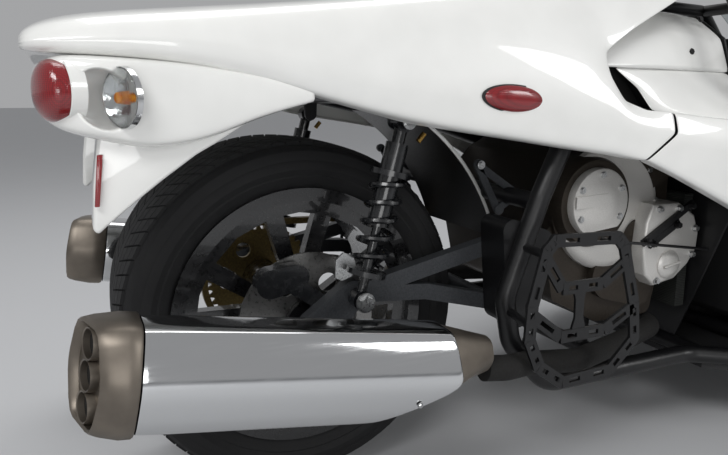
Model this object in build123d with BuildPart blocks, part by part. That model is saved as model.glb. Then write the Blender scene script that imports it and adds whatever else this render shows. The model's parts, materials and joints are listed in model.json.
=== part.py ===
"""Open three-wheeled sports car: two steered front wheels and one wide driven rear wheel.

A welded tube frame carries a two-seat cockpit, an engine across the car behind the seats,
a twin-arm rear suspension and unstressed glass-fibre body panels. All sizes are millimetres.
+X is the car's right, +Y is forward, +Z is up. The origin is on the floor, in the middle of
the car's length and width.
"""
import os
from math import atan2, cos, degrees, radians, sin, sqrt

from build123d import *

os.makedirs("parts", exist_ok=True)

# Overall sizes
REAR_OVERHANG = 440.0
WHEELBASE = 2286.0
FRONT_OVERHANG = 774.0
FRONT_TRACK = 1775.0
HEIGHT = 1067.0
LENGTH = REAR_OVERHANG + WHEELBASE + FRONT_OVERHANG
TAIL_Y = -LENGTH / 2
REAR_AXLE_Y = TAIL_Y + REAR_OVERHANG
FRONT_AXLE_Y = REAR_AXLE_Y + WHEELBASE
NOSE_Y = LENGTH / 2
FRONT_WHEEL_X = FRONT_TRACK / 2

# Tyres and rims
FRONT_TYRE_R = 295.5
FRONT_TYRE_WIDTH = 206.0
FRONT_BEAD_R = 203.0
FRONT_RIM_WIDTH = 178.0
REAR_TYRE_R = 332.0
REAR_TYRE_WIDTH = 301.0
REAR_BEAD_R = 228.6
REAR_RIM_WIDTH = 267.0
FLANGE_HEIGHT = 17.0
FLANGE_WIDTH = 8.0
TYRE_WALL = 13.0
SPOKE_PAIRS = 5

# Frame tubes
MAIN_TUBE_R = 19.0
CROSS_TUBE_R = 17.0
CAGE_BEND = 90.0

# Clearances
SEAT_GAP = 0.3
RUNNING_GAP = 0.5

# Panels
SKIN = 4.0

# Lines that several pieces share
SILL_Z = 188.0
FLOOR_THICK = 12.0
FLOOR_Z = SILL_Z - MAIN_TUBE_R - SEAT_GAP - FLOOR_THICK
BULKHEAD_Y = REAR_AXLE_Y + 850.0
SCREEN_BASE_Y = FRONT_AXLE_Y - 336.0
SCREEN_TOP_Y = FRONT_AXLE_Y - 786.0
COCKPIT_X = 500.0
REAR_LEG_X = 306.0
RAIL_X = 466.0


def rear(y):
    """Place along the car of a point measured forward from the rear axle."""
    return REAR_AXLE_Y + y


def front(y):
    """Place along the car of a point measured forward from the front axle."""
    return FRONT_AXLE_Y + y


def save(piece, name):
    """Label a finished piece and write it."""
    piece.label = name
    export_step(piece, f"parts/{name}.step")


def save_pair(right, name):
    """Write a right-hand piece and its mirror image."""
    with BuildPart() as left:
        mirror(right, about=Plane.YZ)
    save(right, f"{name}_right")
    save(left.part, f"{name}_left")


def bar(points, radius, bend=0.0):
    """Round bar or tube along straight runs, with an arc at each corner."""
    with BuildPart() as run:
        with BuildLine() as path:
            if bend and len(points) > 2:
                FilletPolyline(*points, radius=bend)
            else:
                Polyline(*points)
        start = path.line @ 0
        with BuildSketch(Plane(origin=start, z_dir=path.line % 0)):
            Circle(radius)
        sweep(path=path.line)
    return run.part


def on_line(a, b, share):
    """Point a share of the way from a to b."""
    return tuple(p + (q - p) * share for p, q in zip(a, b))


def side_plate(points, x_from, x_to, corner=0.0):
    """Plate cut to a side-view outline of (y, z) points, between two places across the car."""
    with BuildPart() as plate:
        with BuildSketch(Plane.YZ.offset(x_from)) as outline:
            with BuildLine():
                Polyline(*points, close=True)
            make_face()
            if corner:
                fillet(outline.vertices(), corner)
        extrude(amount=x_to - x_from)
    return plate.part


def link_plate(circles, x_from, x_to):
    """Plate whose outline wraps round a few (y, z, radius) circles."""
    with BuildPart() as plate:
        with BuildSketch(Plane.YZ.offset(x_from)):
            with BuildLine():
                for y, z, radius in circles:
                    CenterArc((y, z), radius, 0, 360)
            make_hull()
        extrude(amount=x_to - x_from)
    return plate.part


def front_plate(circles, y_from, y_to):
    """Plate facing forward whose outline wraps round a few (x, z, radius) circles."""
    with BuildPart() as plate:
        with BuildSketch(Plane.XZ.offset(-y_from)):
            with BuildLine():
                for x, z, radius in circles:
                    CenterArc((x, z), radius, 0, 360)
            make_hull()
        extrude(amount=-(y_to - y_from))
    return plate.part


def lengthwise_pin(x, z, radius, y_from, y_to):
    """Round pin along the car."""
    with BuildPart() as pin:
        with BuildSketch(Plane.XZ.offset(-y_from)):
            with Locations((x, z)):
                Circle(radius)
        extrude(amount=-(y_to - y_from))
    return pin.part


def cross_pin(y, z, radius, x_from, x_to):
    """Round pin across the car."""
    with BuildPart() as pin:
        with BuildSketch(Plane.YZ.offset(x_from)):
            with Locations((y, z)):
                Circle(radius)
        extrude(amount=x_to - x_from)
    return pin.part


def wheel_axis(centre):
    """Axis across the car through a wheel's centre."""
    return Axis(centre, (1, 0, 0))


def wheel_section_plane(centre, angle=90.0):
    """Plane of a wheel's section: local x runs across the car, local y outwards from the axle.

    The angle turns it up from straight ahead.
    """
    turn = radians(angle)
    return Plane(origin=centre, x_dir=(1, 0, 0), z_dir=(0, -sin(turn), cos(turn)))


def wheel_face_plane(centre, across=0.0):
    """Plane of a wheel's face, seen from the car's right, with local x forward."""
    origin = (centre[0] + across, centre[1], centre[2])
    return Plane(origin=origin, x_dir=(0, 1, 0), z_dir=(1, 0, 0))


def make_tyre(centre, radius, width, bead_r, rim_width):
    """Hollow tyre: crowned tread, bulging side walls and two beads."""
    middle_r = bead_r + 0.46 * (radius - bead_r)
    tread = 0.84 * width
    bead = rim_width - 2 * SEAT_GAP
    outer = [
        (bead / 2, bead_r),
        (bead / 2, bead_r + FLANGE_HEIGHT + SEAT_GAP),
        (width / 2, middle_r - 10),
        (width / 2, middle_r + 14),
        (tread / 2, radius),
    ]
    inner = [
        (bead / 2 - TYRE_WALL, bead_r - 1),
        (width / 2 - TYRE_WALL, middle_r),
        (tread / 2 - TYRE_WALL / 2, radius - TYRE_WALL),
    ]
    with BuildPart() as tyre:
        with BuildSketch(wheel_section_plane(centre)) as section:
            with BuildLine():
                Polyline(*outer, *[(-x, r) for x, r in reversed(outer)], close=True)
            make_face()
            fillet(section.vertices().group_by(Axis.Y)[-1], 30)
            fillet(section.vertices().group_by(Axis.X)[0], 12)
            fillet(section.vertices().group_by(Axis.X)[-1], 12)
            with BuildLine():
                Polyline(*inner, *[(-x, r) for x, r in reversed(inner)], close=True)
            make_face(mode=Mode.SUBTRACT)
        revolve(axis=wheel_axis(centre))
    return tyre.part


def make_rim(centre, bead_r, rim_width, outward, face_x, hub_r, bore_r, hub_from, hub_to):
    """Drop-centre rim with pairs of split spokes. outward is +1 where the face looks to +X."""
    seat_r = bead_r - SEAT_GAP
    flange_r = bead_r + FLANGE_HEIGHT
    drop_r = seat_r - 18
    half = rim_width / 2
    outer = [
        (half + FLANGE_WIDTH, flange_r),
        (half, flange_r),
        (half, seat_r),
        (half - 30, seat_r),
        (half - 46, drop_r),
    ]
    inner = [(half - 50, drop_r - 7), (half - 34, seat_r - 7), (half + FLANGE_WIDTH, seat_r - 7)]
    ring = outer + [(-x, r) for x, r in reversed(outer)] + [(-x, r) for x, r in reversed(inner)] + inner
    spoke_r = seat_r - 4
    dish = 16.0
    with BuildPart() as rim:
        with BuildSketch(wheel_section_plane(centre)):
            with BuildLine():
                Polyline(*ring, close=True)
            make_face()
            with BuildLine():
                Polyline(
                    (outward * (face_x - dish), hub_r - 4),
                    (outward * face_x, spoke_r),
                    (outward * (face_x - 22), spoke_r),
                    (outward * (face_x - dish - 30), hub_r - 4),
                    close=True,
                )
            make_face()
            with BuildLine():
                Polyline((hub_from, bore_r), (hub_from, hub_r), (hub_to, hub_r), (hub_to, bore_r), close=True)
            make_face()
        revolve(axis=wheel_axis(centre))
        with BuildSketch(wheel_face_plane(centre)):
            for pair in range(SPOKE_PAIRS):
                turn = 360 / SPOKE_PAIRS * pair + 90
                for spread, near_r, far_half in ((0, hub_r + 34, 0.155), (180 / SPOKE_PAIRS, hub_r + 16, 0.30)):
                    angle = radians(turn + spread)
                    far_r = drop_r - 14
                    corners = [
                        (near_r, 0.0 if spread == 0 else 0.26),
                        (far_r, far_half),
                        (far_r + 2, 0.0),
                        (far_r, -far_half),
                        (near_r, -0.0 if spread == 0 else -0.26),
                    ]
                    if spread == 0:
                        corners = corners[:-1]
                    points = [(r * cos(angle + a), r * sin(angle + a)) for r, a in corners]
                    with BuildLine():
                        Polyline(*points, close=True)
                    make_face()
        extrude(amount=2 * rim_width, both=True, mode=Mode.SUBTRACT)
    return rim.part


# Tail cowl sections, which the fenders and the frame's stubs also follow
TAIL_TABLE = [
    # y, edge x, edge z, crease x, crease z, ridge x, ridge z, deck x, deck z
    (rear(-440), 262, 800, 280, 810, 262, 828, 150, 836),
    (rear(-400), 288, 796, 308, 814, 280, 842, 160, 858),
    (rear(-200), 310, 789, 322, 822, 288, 862, 160, 882),
    (rear(-34), 324, 744, 331, 792, 292, 878, 160, 898),
    (rear(120), 334, 702, 341, 766, 298, 895, 160, 912),
    (rear(300), 350, 674, 356, 770, 302, 916, 160, 924),
    (rear(505), 390, 640, 376, 780, 306, 950, 160, 932),
    (rear(640), 408, 618, 392, 780, 302, 985, 160, 934),
    (rear(776), 420, 600, 404, 780, 296, 1040, 160, 938),
]


def along_table(table, y, column):
    """Value of a column at a place along the car, between the table's sections."""
    for a, b in zip(table, table[1:]):
        if a[0] <= y <= b[0]:
            return a[column] + (b[column] - a[column]) * (y - a[0]) / (b[0] - a[0])
    raise ValueError("outside the table")


def cowl_inside_x(y, z):
    """Half width inside the tail cowl's wall, between its edge and its crease."""
    edge_x, edge_z, crease_x, crease_z = (along_table(TAIL_TABLE, y, column) for column in (1, 2, 3, 4))
    return edge_x + (crease_x - edge_x) * (z - edge_z) / (crease_z - edge_z) - SKIN


# Rear wheel, drawn about its axle
REAR_CENTRE = (0.0, REAR_AXLE_Y, REAR_TYRE_R)
REAR_AXLE_R = 14.0
REAR_HUB_R = 44.0
REAR_HUB_HALF = 176.0
DISC_X = 160.0
REAR_DISC_R = 130.0
SPROCKET_X = -164.0
SPROCKET_R = 122.0
SPROCKET_TEETH = 42
TOOTH_DEPTH = 8.0
SWINGARM_X = 200.0
SWINGARM_WIDTH = 26.0

rear_tyre = make_tyre(REAR_CENTRE, REAR_TYRE_R, REAR_TYRE_WIDTH, REAR_BEAD_R, REAR_RIM_WIDTH)
save(rear_tyre, "rear_tyre")

rear_rim = make_rim(
    REAR_CENTRE,
    REAR_BEAD_R,
    REAR_RIM_WIDTH,
    1,
    126.0,
    REAR_HUB_R,
    REAR_AXLE_R + RUNNING_GAP,
    -REAR_HUB_HALF,
    REAR_HUB_HALF,
)
save(rear_rim, "rear_rim")


def make_disc(centre, across, radius, hub_r, thickness):
    """Drilled brake disc on a carrier that seats on the hub."""
    with BuildPart() as disc:
        with BuildSketch(wheel_face_plane(centre, across - thickness / 2)):
            Circle(radius)
            Circle(hub_r + SEAT_GAP, mode=Mode.SUBTRACT)
            with PolarLocations(0.62 * radius, 6):
                Circle(0.14 * radius, mode=Mode.SUBTRACT)
        extrude(amount=thickness)
    return disc.part


save(make_disc(REAR_CENTRE, DISC_X, REAR_DISC_R, REAR_HUB_R, 5.0), "rear_disc")

with BuildPart() as rear_sprocket:
    with BuildSketch(wheel_face_plane(REAR_CENTRE, SPROCKET_X - 4)):
        with BuildLine():
            teeth = []
            for tooth in range(SPROCKET_TEETH):
                for share, depth in ((0.0, TOOTH_DEPTH), (0.3, TOOTH_DEPTH), (0.5, 0.0), (0.8, 0.0)):
                    angle = radians(360 / SPROCKET_TEETH * (tooth + share))
                    teeth.append(((SPROCKET_R - depth) * cos(angle), (SPROCKET_R - depth) * sin(angle)))
            Polyline(*teeth, close=True)
        make_face()
        Circle(REAR_HUB_R + SEAT_GAP, mode=Mode.SUBTRACT)
        with PolarLocations(0.66 * SPROCKET_R, 6):
            Circle(17, mode=Mode.SUBTRACT)
    extrude(amount=8)
save(rear_sprocket.part, "rear_sprocket")

# Drive chain, one closed loop round the two sprockets
DRIVE_SPROCKET_Y = rear(560)
DRIVE_SPROCKET_Z = 395.0
DRIVE_SPROCKET_R = 46.0
CHAIN_GAP = RUNNING_GAP
CHAIN_DEPTH = 14.0
with BuildPart() as drive_chain:
    for extra, how in ((CHAIN_GAP + CHAIN_DEPTH, Mode.ADD), (CHAIN_GAP, Mode.SUBTRACT)):
        loop = [
            (REAR_AXLE_Y, REAR_TYRE_R, SPROCKET_R + extra),
            (DRIVE_SPROCKET_Y, DRIVE_SPROCKET_Z, DRIVE_SPROCKET_R + extra),
        ]
        add(link_plate(loop, SPROCKET_X - 8, SPROCKET_X + 8), mode=how)
save(drive_chain.part, "drive_chain")

# Rear swing arm: two side frames, each of an upper bar, a bowed lower bar and an axle plate
PIN_R = 8.0
SHOCK_X = 252.0
SHOCK_TOP = (rear(147), 698.0)
SHOCK_BEAM_Z = 742.0
SHOCK_FOOT = (rear(66), 392.0)
UPPER_PIVOT = (rear(415), 468.0)
LOWER_MOUNT = (rear(372), 338.0)
ARM_BAR_HALF = 15.0
with BuildPart() as swingarm:
    inside, outside = SWINGARM_X, SWINGARM_X + SWINGARM_WIDTH
    add(link_plate([(REAR_AXLE_Y, REAR_TYRE_R, 36), (*SHOCK_FOOT, 26)], inside, outside))
    add(link_plate([(*SHOCK_FOOT, ARM_BAR_HALF), (*UPPER_PIVOT, ARM_BAR_HALF)], inside, outside))
    add(link_plate([(*SHOCK_FOOT, ARM_BAR_HALF), (rear(215), 380, ARM_BAR_HALF)], inside, outside))
    add(link_plate([(rear(215), 380, ARM_BAR_HALF), (*LOWER_MOUNT, ARM_BAR_HALF)], inside, outside))
    add(link_plate([(*UPPER_PIVOT, ARM_BAR_HALF), (*LOWER_MOUNT, ARM_BAR_HALF)], inside + 4, outside - 4))
    mirror(about=Plane.YZ)
    add(cross_pin(*LOWER_MOUNT, 16, -SWINGARM_X - 4, SWINGARM_X + 4))
    add(cross_pin(REAR_AXLE_Y, REAR_TYRE_R, REAR_AXLE_R, -SWINGARM_X - 40, SWINGARM_X + 40))
    for side in (1, -1):
        add(cross_pin(*SHOCK_FOOT, PIN_R, side * SWINGARM_X, side * (SHOCK_X + 24)))
save(swingarm.part, "swingarm")

# Rear brake caliper on a bracket from the axle plate
with BuildPart() as rear_caliper:
    add(
        link_plate(
            [(rear(-78), 420, 26), (rear(-30), 428, 22)],
            DISC_X + 2.5 + RUNNING_GAP + 5,
            SWINGARM_X - SEAT_GAP,
        )
    )
    add(link_plate([(rear(-50), 424, 16), (REAR_AXLE_Y + 20, REAR_TYRE_R + 40, 14)], SWINGARM_X - 9, SWINGARM_X - SEAT_GAP))
save(rear_caliper.part, "rear_caliper")

# Rear coil-over shocks
SHOCK_BODY_R = 20.0
SPRING_R = 33.0
SPRING_WIRE = 5.0
SPRING_TURNS = 5


def make_coil_over(foot, top, eye_r, body_r, rod_r, spring_r, eye_axis):
    """Damper with an eye at each end, a rod, a body and two spring seats, and its coil spring."""
    whole = sqrt(sum((q - p) ** 2 for p, q in zip(foot, top)))
    unit = tuple((q - p) / whole for p, q in zip(foot, top))
    with BuildPart() as damper:
        for along, length, radius in (
            (eye_r * 0.6, whole * 0.50, rod_r),
            (whole * 0.42, whole * 0.58 - eye_r * 2.2, body_r),
            (whole - eye_r * 2.4, eye_r * 1.8, eye_r * 0.7),
            (whole * 0.14, whole * 0.03, spring_r + 3),
            (whole * 0.70, whole * 0.03, spring_r + 3),
        ):
            start = tuple(p + u * along for p, u in zip(foot, unit))
            with BuildSketch(Plane(origin=start, z_dir=unit)):
                Circle(radius)
            extrude(amount=length)
        for eye in (foot, top):
            with BuildSketch(Plane(origin=eye, z_dir=eye_axis)):
                Circle(eye_r)
            extrude(amount=eye_r * 0.8, both=True)
        for eye in (foot, top):
            with BuildSketch(Plane(origin=eye, z_dir=eye_axis)):
                Circle(PIN_R + RUNNING_GAP)
            extrude(amount=eye_r * 2, both=True, mode=Mode.SUBTRACT)
    with BuildPart() as spring:
        rise = whole * 0.53 - 2 * SEAT_GAP - 2 * SPRING_WIRE
        start = tuple(p + u * (whole * 0.17 + SEAT_GAP + SPRING_WIRE) for p, u in zip(foot, unit))
        coil_r = spring_r - SPRING_WIRE
        with BuildLine() as coil:
            Helix(pitch=rise / SPRING_TURNS, height=rise, radius=coil_r, center=start, direction=unit)
        with BuildSketch(Plane(origin=coil.line @ 0, z_dir=coil.line % 0)):
            RegularPolygon(SPRING_WIRE, 6)
        sweep(path=coil.line, is_frenet=True)
    return damper.part, spring.part


rear_damper, rear_spring = make_coil_over(
    (SHOCK_X, *SHOCK_FOOT), (SHOCK_X, *SHOCK_TOP), 17, SHOCK_BODY_R, 9, SPRING_R, (1, 0, 0)
)
# Lower frame: rear legs, floor rails, engine cradle and nose frame, all welded into one
NOSE_RAIL_X = 240.0
NOSE_RAIL_Z = 410.0
MAIN_RUN = [
    (REAR_LEG_X, rear(470), 700),
    (REAR_LEG_X, rear(405), 560),
    (REAR_LEG_X, rear(335), 375),
    (REAR_LEG_X, rear(352), 285),
    (REAR_LEG_X, rear(440), SILL_Z),
    (REAR_LEG_X, rear(820), SILL_Z),
    (RAIL_X, BULKHEAD_Y + 190, SILL_Z),
    (RAIL_X, SCREEN_BASE_Y - 260, SILL_Z),
    (250, SCREEN_BASE_Y + 110, SILL_Z),
    (220, front(330), SILL_Z),
]
UPPER_RUN = [
    (REAR_LEG_X, rear(470), 690),
    (REAR_LEG_X + 40, rear(690), 620),
    (COCKPIT_X - 60, BULKHEAD_Y + 120, 520),
    (COCKPIT_X - 40, BULKHEAD_Y + 520, 400),
    (COCKPIT_X - 60, SCREEN_BASE_Y - 160, 430),
    (NOSE_RAIL_X + 20, SCREEN_BASE_Y + 130, NOSE_RAIL_Z),
    (NOSE_RAIL_X, front(150), NOSE_RAIL_Z),
    (220, front(330), 300),
]
# Front suspension points, for the right side
KINGPIN_X = FRONT_WHEEL_X - 75.0
BALL_LOW_Z = 172.0
BALL_HIGH_Z = 418.0
BALL_R = 17.0
LOWER_PIVOTS = ((292, -150), (280, 150))
UPPER_PIVOTS = ((300, -120), (288, 120))
LOWER_PIVOT_Z = SILL_Z
UPPER_PIVOT_Z = NOSE_RAIL_Z
ARM_R = 12.0
BUSH_R = 16.0
BUSH_HALF = 20.0
FRONT_SHOCK_FOOT = (570.0, FRONT_AXLE_Y, 181.0)
FRONT_SHOCK_TOP = (310.0, FRONT_AXLE_Y, 505.0)
FRONT_EYE_R = 14.0
TAB_THICK = 5.0
ENGINE_MOUNT_Y = rear(640)
ENGINE_LOW_Z = 268.0
GUARD_BEAM_Y = rear(401)
GUARD_BEAM_Z = 550.0
NOSE_SKIN_Z = 576.7
STEER_ARM = 120.0
RACK_Y = front(-STEER_ARM)
FRAME_BRACES = [
    # Start point, end point
    ((COCKPIT_X - 60, BULKHEAD_Y + 120, 520), (RAIL_X, BULKHEAD_Y + 190, SILL_Z)),
    ((COCKPIT_X - 60, SCREEN_BASE_Y - 160, 430), (RAIL_X, SCREEN_BASE_Y - 260, SILL_Z)),
    ((NOSE_RAIL_X + 20, SCREEN_BASE_Y + 130, NOSE_RAIL_Z), (250, SCREEN_BASE_Y + 110, SILL_Z)),
    ((NOSE_RAIL_X, front(150), NOSE_RAIL_Z), (230, front(190), SILL_Z)),
    ((220, front(330), 300), (220, front(330), SILL_Z)),
    ((SHOCK_X, rear(147), SHOCK_BEAM_Z), (REAR_LEG_X, rear(460), 680)),
]
FRAME_CROSSES = [
    # y, z, half length
    (rear(470), 690, REAR_LEG_X),
    (BULKHEAD_Y + 1, SILL_Z, REAR_LEG_X + 20),
    (ENGINE_MOUNT_Y, SILL_Z, REAR_LEG_X),
    (GUARD_BEAM_Y, GUARD_BEAM_Z, REAR_LEG_X),
    (RACK_Y, SILL_Z, 244),
    (rear(147), SHOCK_BEAM_Z, SHOCK_X),
    (BULKHEAD_Y + 190, SILL_Z, RAIL_X),
    (SCREEN_BASE_Y + 130, NOSE_RAIL_Z, NOSE_RAIL_X + 20),
    (SCREEN_BASE_Y + 110, SILL_Z, 250),
    (front(150), NOSE_RAIL_Z, NOSE_RAIL_X),
    (front(330), SILL_Z, 220),
    (front(330), 300, 220),
]
PIVOT_PLATE_X = SWINGARM_X + SWINGARM_WIDTH + SEAT_GAP
with BuildPart() as frame:
    add(bar(MAIN_RUN, MAIN_TUBE_R, 70))
    add(bar(UPPER_RUN, MAIN_TUBE_R, 60))
    for start, end in FRAME_BRACES:
        add(bar([start, end], MAIN_TUBE_R - 4))
    add(
        link_plate(
            [(*UPPER_PIVOT, 30), (*LOWER_MOUNT, 28), (rear(350), 500, 20)],
            PIVOT_PLATE_X,
            REAR_LEG_X - MAIN_TUBE_R + 14,
        )
    )
    add(cross_pin(*SHOCK_TOP, PIN_R, SHOCK_X - 31, SHOCK_X + 24))
    add(link_plate([(*SHOCK_TOP, 14), (rear(147), SHOCK_BEAM_Z, 16)], SHOCK_X - 31, SHOCK_X - 22))
    for (x, y), z, rail_x in (
        (LOWER_PIVOTS[0], LOWER_PIVOT_Z, 244),
        (LOWER_PIVOTS[1], LOWER_PIVOT_Z, 230),
        (UPPER_PIVOTS[0], UPPER_PIVOT_Z, 255),
        (UPPER_PIVOTS[1], UPPER_PIVOT_Z, 242),
    ):
        for side in (-1, 1):
            tab_y = front(y) + side * (BUSH_HALF + SEAT_GAP)
            add(front_plate([(x, z, 13), (rail_x, z, 16)], tab_y, tab_y + side * TAB_THICK))
        reach = BUSH_HALF + TAB_THICK
        add(lengthwise_pin(x, z, PIN_R, front(y) - reach, front(y) + reach))
    for side in (-1, 1):
        tab_y = FRONT_AXLE_Y + side * (FRONT_EYE_R * 0.8 + SEAT_GAP)
        tower = [(FRONT_SHOCK_TOP[0], FRONT_SHOCK_TOP[2], 13), (NOSE_RAIL_X + 8, NOSE_RAIL_Z, 16)]
        add(front_plate(tower, tab_y, tab_y + side * TAB_THICK))
    add(lengthwise_pin(FRONT_SHOCK_TOP[0], FRONT_SHOCK_TOP[2], PIN_R, FRONT_AXLE_Y - 16, FRONT_AXLE_Y + 16))
    mirror(about=Plane.YZ)
    for y, z, half in FRAME_CROSSES:
        add(bar([(-half, y, z), (half, y, z)], CROSS_TUBE_R))
    for side in (1, -1):
        foot = (side * 180, ENGINE_MOUNT_Y, SILL_Z)
        add(bar([foot, (side * 180, ENGINE_MOUNT_Y, ENGINE_LOW_Z - SEAT_GAP)], 14))
        post = (side * 100, front(150), NOSE_RAIL_Z)
        add(bar([post, (side * 100, front(150), NOSE_SKIN_Z)], 8))
        reach = cowl_inside_x(rear(470), 698) - 5 * SEAT_GAP
        add(bar([(side * REAR_LEG_X, rear(470), 690), (side * reach, rear(470), 690)], 8))

# The frame is bolted together from three sections, at planes across its tubes
REAR_JOINT_Y = BULKHEAD_Y + 60
NOSE_JOINT_Y = SCREEN_BASE_Y + 60
for name, y_from, y_to in (
    ("rear_frame", TAIL_Y, REAR_JOINT_Y),
    ("cockpit_frame", REAR_JOINT_Y, NOSE_JOINT_Y),
    ("nose_frame", NOSE_JOINT_Y, NOSE_Y),
):
    with BuildPart() as frame_section:
        add(frame.part)
        with BuildSketch(Plane.XZ.offset(-y_from)):
            Rectangle(FRONT_TRACK, 2 * HEIGHT)
        extrude(amount=-(y_to - y_from), mode=Mode.INTERSECT)
    save(frame_section.part, name)

# Roll cage: rear hoop, roof bars, screen pillars and side bars
HOOP_Y = rear(800)
CAGE_TOP_Z = HEIGHT - MAIN_TUBE_R - 12
CAGE_TOP_X = 300.0
CAGE_RUN = [
    (CAGE_TOP_X - 9, HOOP_Y + 1, CAGE_TOP_Z - 14),
    (CAGE_TOP_X + 10, SCREEN_TOP_Y, CAGE_TOP_Z - 34),
    (COCKPIT_X - 105, SCREEN_BASE_Y - 60, 700),
    on_line(UPPER_RUN[4], UPPER_RUN[5], 0.43),
]
DASH_BEAM = (SCREEN_BASE_Y - 28, 500.0)
BRACE_X = 120.0
BRACE = [(BRACE_X, HOOP_Y, CAGE_TOP_Z), (BRACE_X, rear(470), 690)]
TUBE_ROOM = 5.0
HOOP_FOOT = on_line(UPPER_RUN[2], UPPER_RUN[3], 0.12)
HOOP_SIDE = [HOOP_FOOT, (COCKPIT_X - 90, HOOP_Y + 20, 800), (CAGE_TOP_X, HOOP_Y, CAGE_TOP_Z)]
HOOP_RUN = HOOP_SIDE + [(-x, y, z) for x, y, z in reversed(HOOP_SIDE)]
with BuildPart() as roll_cage:
    add(bar(CAGE_RUN, MAIN_TUBE_R, 50))
    add(bar(BRACE, MAIN_TUBE_R - 3))
    mirror(about=Plane.YZ)
    add(bar(HOOP_RUN, MAIN_TUBE_R, CAGE_BEND))
    add(
        bar(
            [(-CAGE_TOP_X - 10, SCREEN_TOP_Y, CAGE_TOP_Z - 34), (CAGE_TOP_X + 10, SCREEN_TOP_Y, CAGE_TOP_Z - 34)],
            MAIN_TUBE_R - 2,
        )
    )
    add(bar([(-366, *DASH_BEAM), (366, *DASH_BEAM)], CROSS_TUBE_R))
    for side in (1, -1):
        for run in (UPPER_RUN[1:3], UPPER_RUN[2:4], UPPER_RUN[4:6]):
            rail = [(side * x, y, z) for x, y, z in run]
            add(bar(rail, MAIN_TUBE_R + SEAT_GAP), mode=Mode.SUBTRACT)
        seat = [(side * 80, rear(470), 690), (side * 160, rear(470), 690)]
        add(bar(seat, CROSS_TUBE_R + SEAT_GAP), mode=Mode.SUBTRACT)
save(roll_cage.part, "roll_cage")

# Roof panel, clipped over the roof bars
with BuildPart() as roof_panel:
    with BuildSketch(Plane.XZ.offset(-(HOOP_Y - 5))):
        with BuildLine():
            Polyline(
                (-CAGE_TOP_X - 10, HEIGHT - 12 + SEAT_GAP),
                (CAGE_TOP_X + 10, HEIGHT - 12 + SEAT_GAP),
                (CAGE_TOP_X - 20, HEIGHT),
                (20 - CAGE_TOP_X, HEIGHT),
                close=True,
            )
        make_face()
    extrude(amount=-(SCREEN_TOP_Y - HOOP_Y - 10))
save(roof_panel.part, "roof_panel")

# Floor tub riveted under the rails, and the pan under the nose
FLOOR_HALF = RAIL_X + MAIN_TUBE_R + 4
FLOOR_OUTLINE = [
    # Half width, y
    (REAR_LEG_X + 20, BULKHEAD_Y),
    (FLOOR_HALF, BULKHEAD_Y + 190),
    (FLOOR_HALF, SCREEN_BASE_Y - 260),
    (258, SCREEN_BASE_Y + 110),
    (228, front(330)),
]
with BuildPart() as floor_tub:
    with BuildSketch(Plane.XY.offset(FLOOR_Z)):
        with BuildLine():
            Polyline(*FLOOR_OUTLINE, *[(-x, y) for x, y in reversed(FLOOR_OUTLINE)], close=True)
        make_face()
    extrude(amount=FLOOR_THICK)
save(floor_tub.part, "floor_tub")


def loft_sections(sections, smooth=False):
    """Solid through closed outlines, each of a y and a list of (x, z) corners."""
    with BuildPart() as body:
        for y, points in sections:
            with BuildSketch(Plane(origin=(0, y, 0), x_dir=(1, 0, 0), z_dir=(0, -1, 0))):
                with BuildLine():
                    Polyline(*points, close=True)
                make_face()
        loft(ruled=not smooth)
    return body.part


def crown_sections(table, wall):
    """Outlines across the car, shrunk by a wall: a crown over an open underside.

    A row gives a place along the car, then (x, z) pairs up one side and over the top.
    """
    sections = []
    for y, *numbers in table:
        corners = list(zip(numbers[::2], numbers[1::2]))
        low_x, low_z = corners[0]
        right = [(low_x - wall, low_z - (20 if wall else 0))]
        right += [(x - wall, z - 0.5 * wall) for x, z in corners[1:-1]]
        right.append((corners[-1][0], corners[-1][1] - wall))
        sections.append((y, right + [(-x, z) for x, z in reversed(right)]))
    return sections


def make_shell(table, smooth=False):
    """Panel open underneath and at both ends, as thick as the skin."""
    with BuildPart() as shell:
        add(loft_sections(crown_sections(table, 0), smooth))
        add(loft_sections(crown_sections(table, SKIN), smooth), mode=Mode.SUBTRACT)
    return shell.part


# Tail cowl, from the tail's tip to the roll hoop. Each side parts into an upper branch to the
# hoop and a lower branch to the sill, round a rounded notch.
SEAM_GAP = 1.5
SEAM_LINE = [(rear(614), 724), (rear(600), 682), (rear(572), 648), (rear(540), 612)]
NOTCH_OUTLINE = [
    *SEAM_LINE,
    (rear(540), 560),
    (rear(860), 560),
    (rear(860), 1010),
    (rear(776), 976),
    (rear(690), 932),
    (rear(600), 886),
    (rear(540), 842),
    (rear(506), 806),
    (rear(508), 782),
    (rear(530), 752),
    (rear(566), 726),
]
with BuildPart() as tail_cowl:
    add(make_shell(TAIL_TABLE, True))
    with BuildSketch(Plane.YZ.offset(250)) as notch:
        with BuildLine():
            Polyline(*NOTCH_OUTLINE, close=True)
        make_face()
    extrude(amount=250, mode=Mode.SUBTRACT)
    with BuildSketch(Plane.YZ.offset(-250)):
        with BuildLine():
            Polyline(*NOTCH_OUTLINE, close=True)
        make_face()
    extrude(amount=-250, mode=Mode.SUBTRACT)
    for side in (1, -1):
        brace = [(side * x, y, z) for x, y, z in BRACE]
        add(bar(brace, MAIN_TUBE_R + TUBE_ROOM), mode=Mode.SUBTRACT)
save(tail_cowl.part, "tail_cowl")

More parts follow.
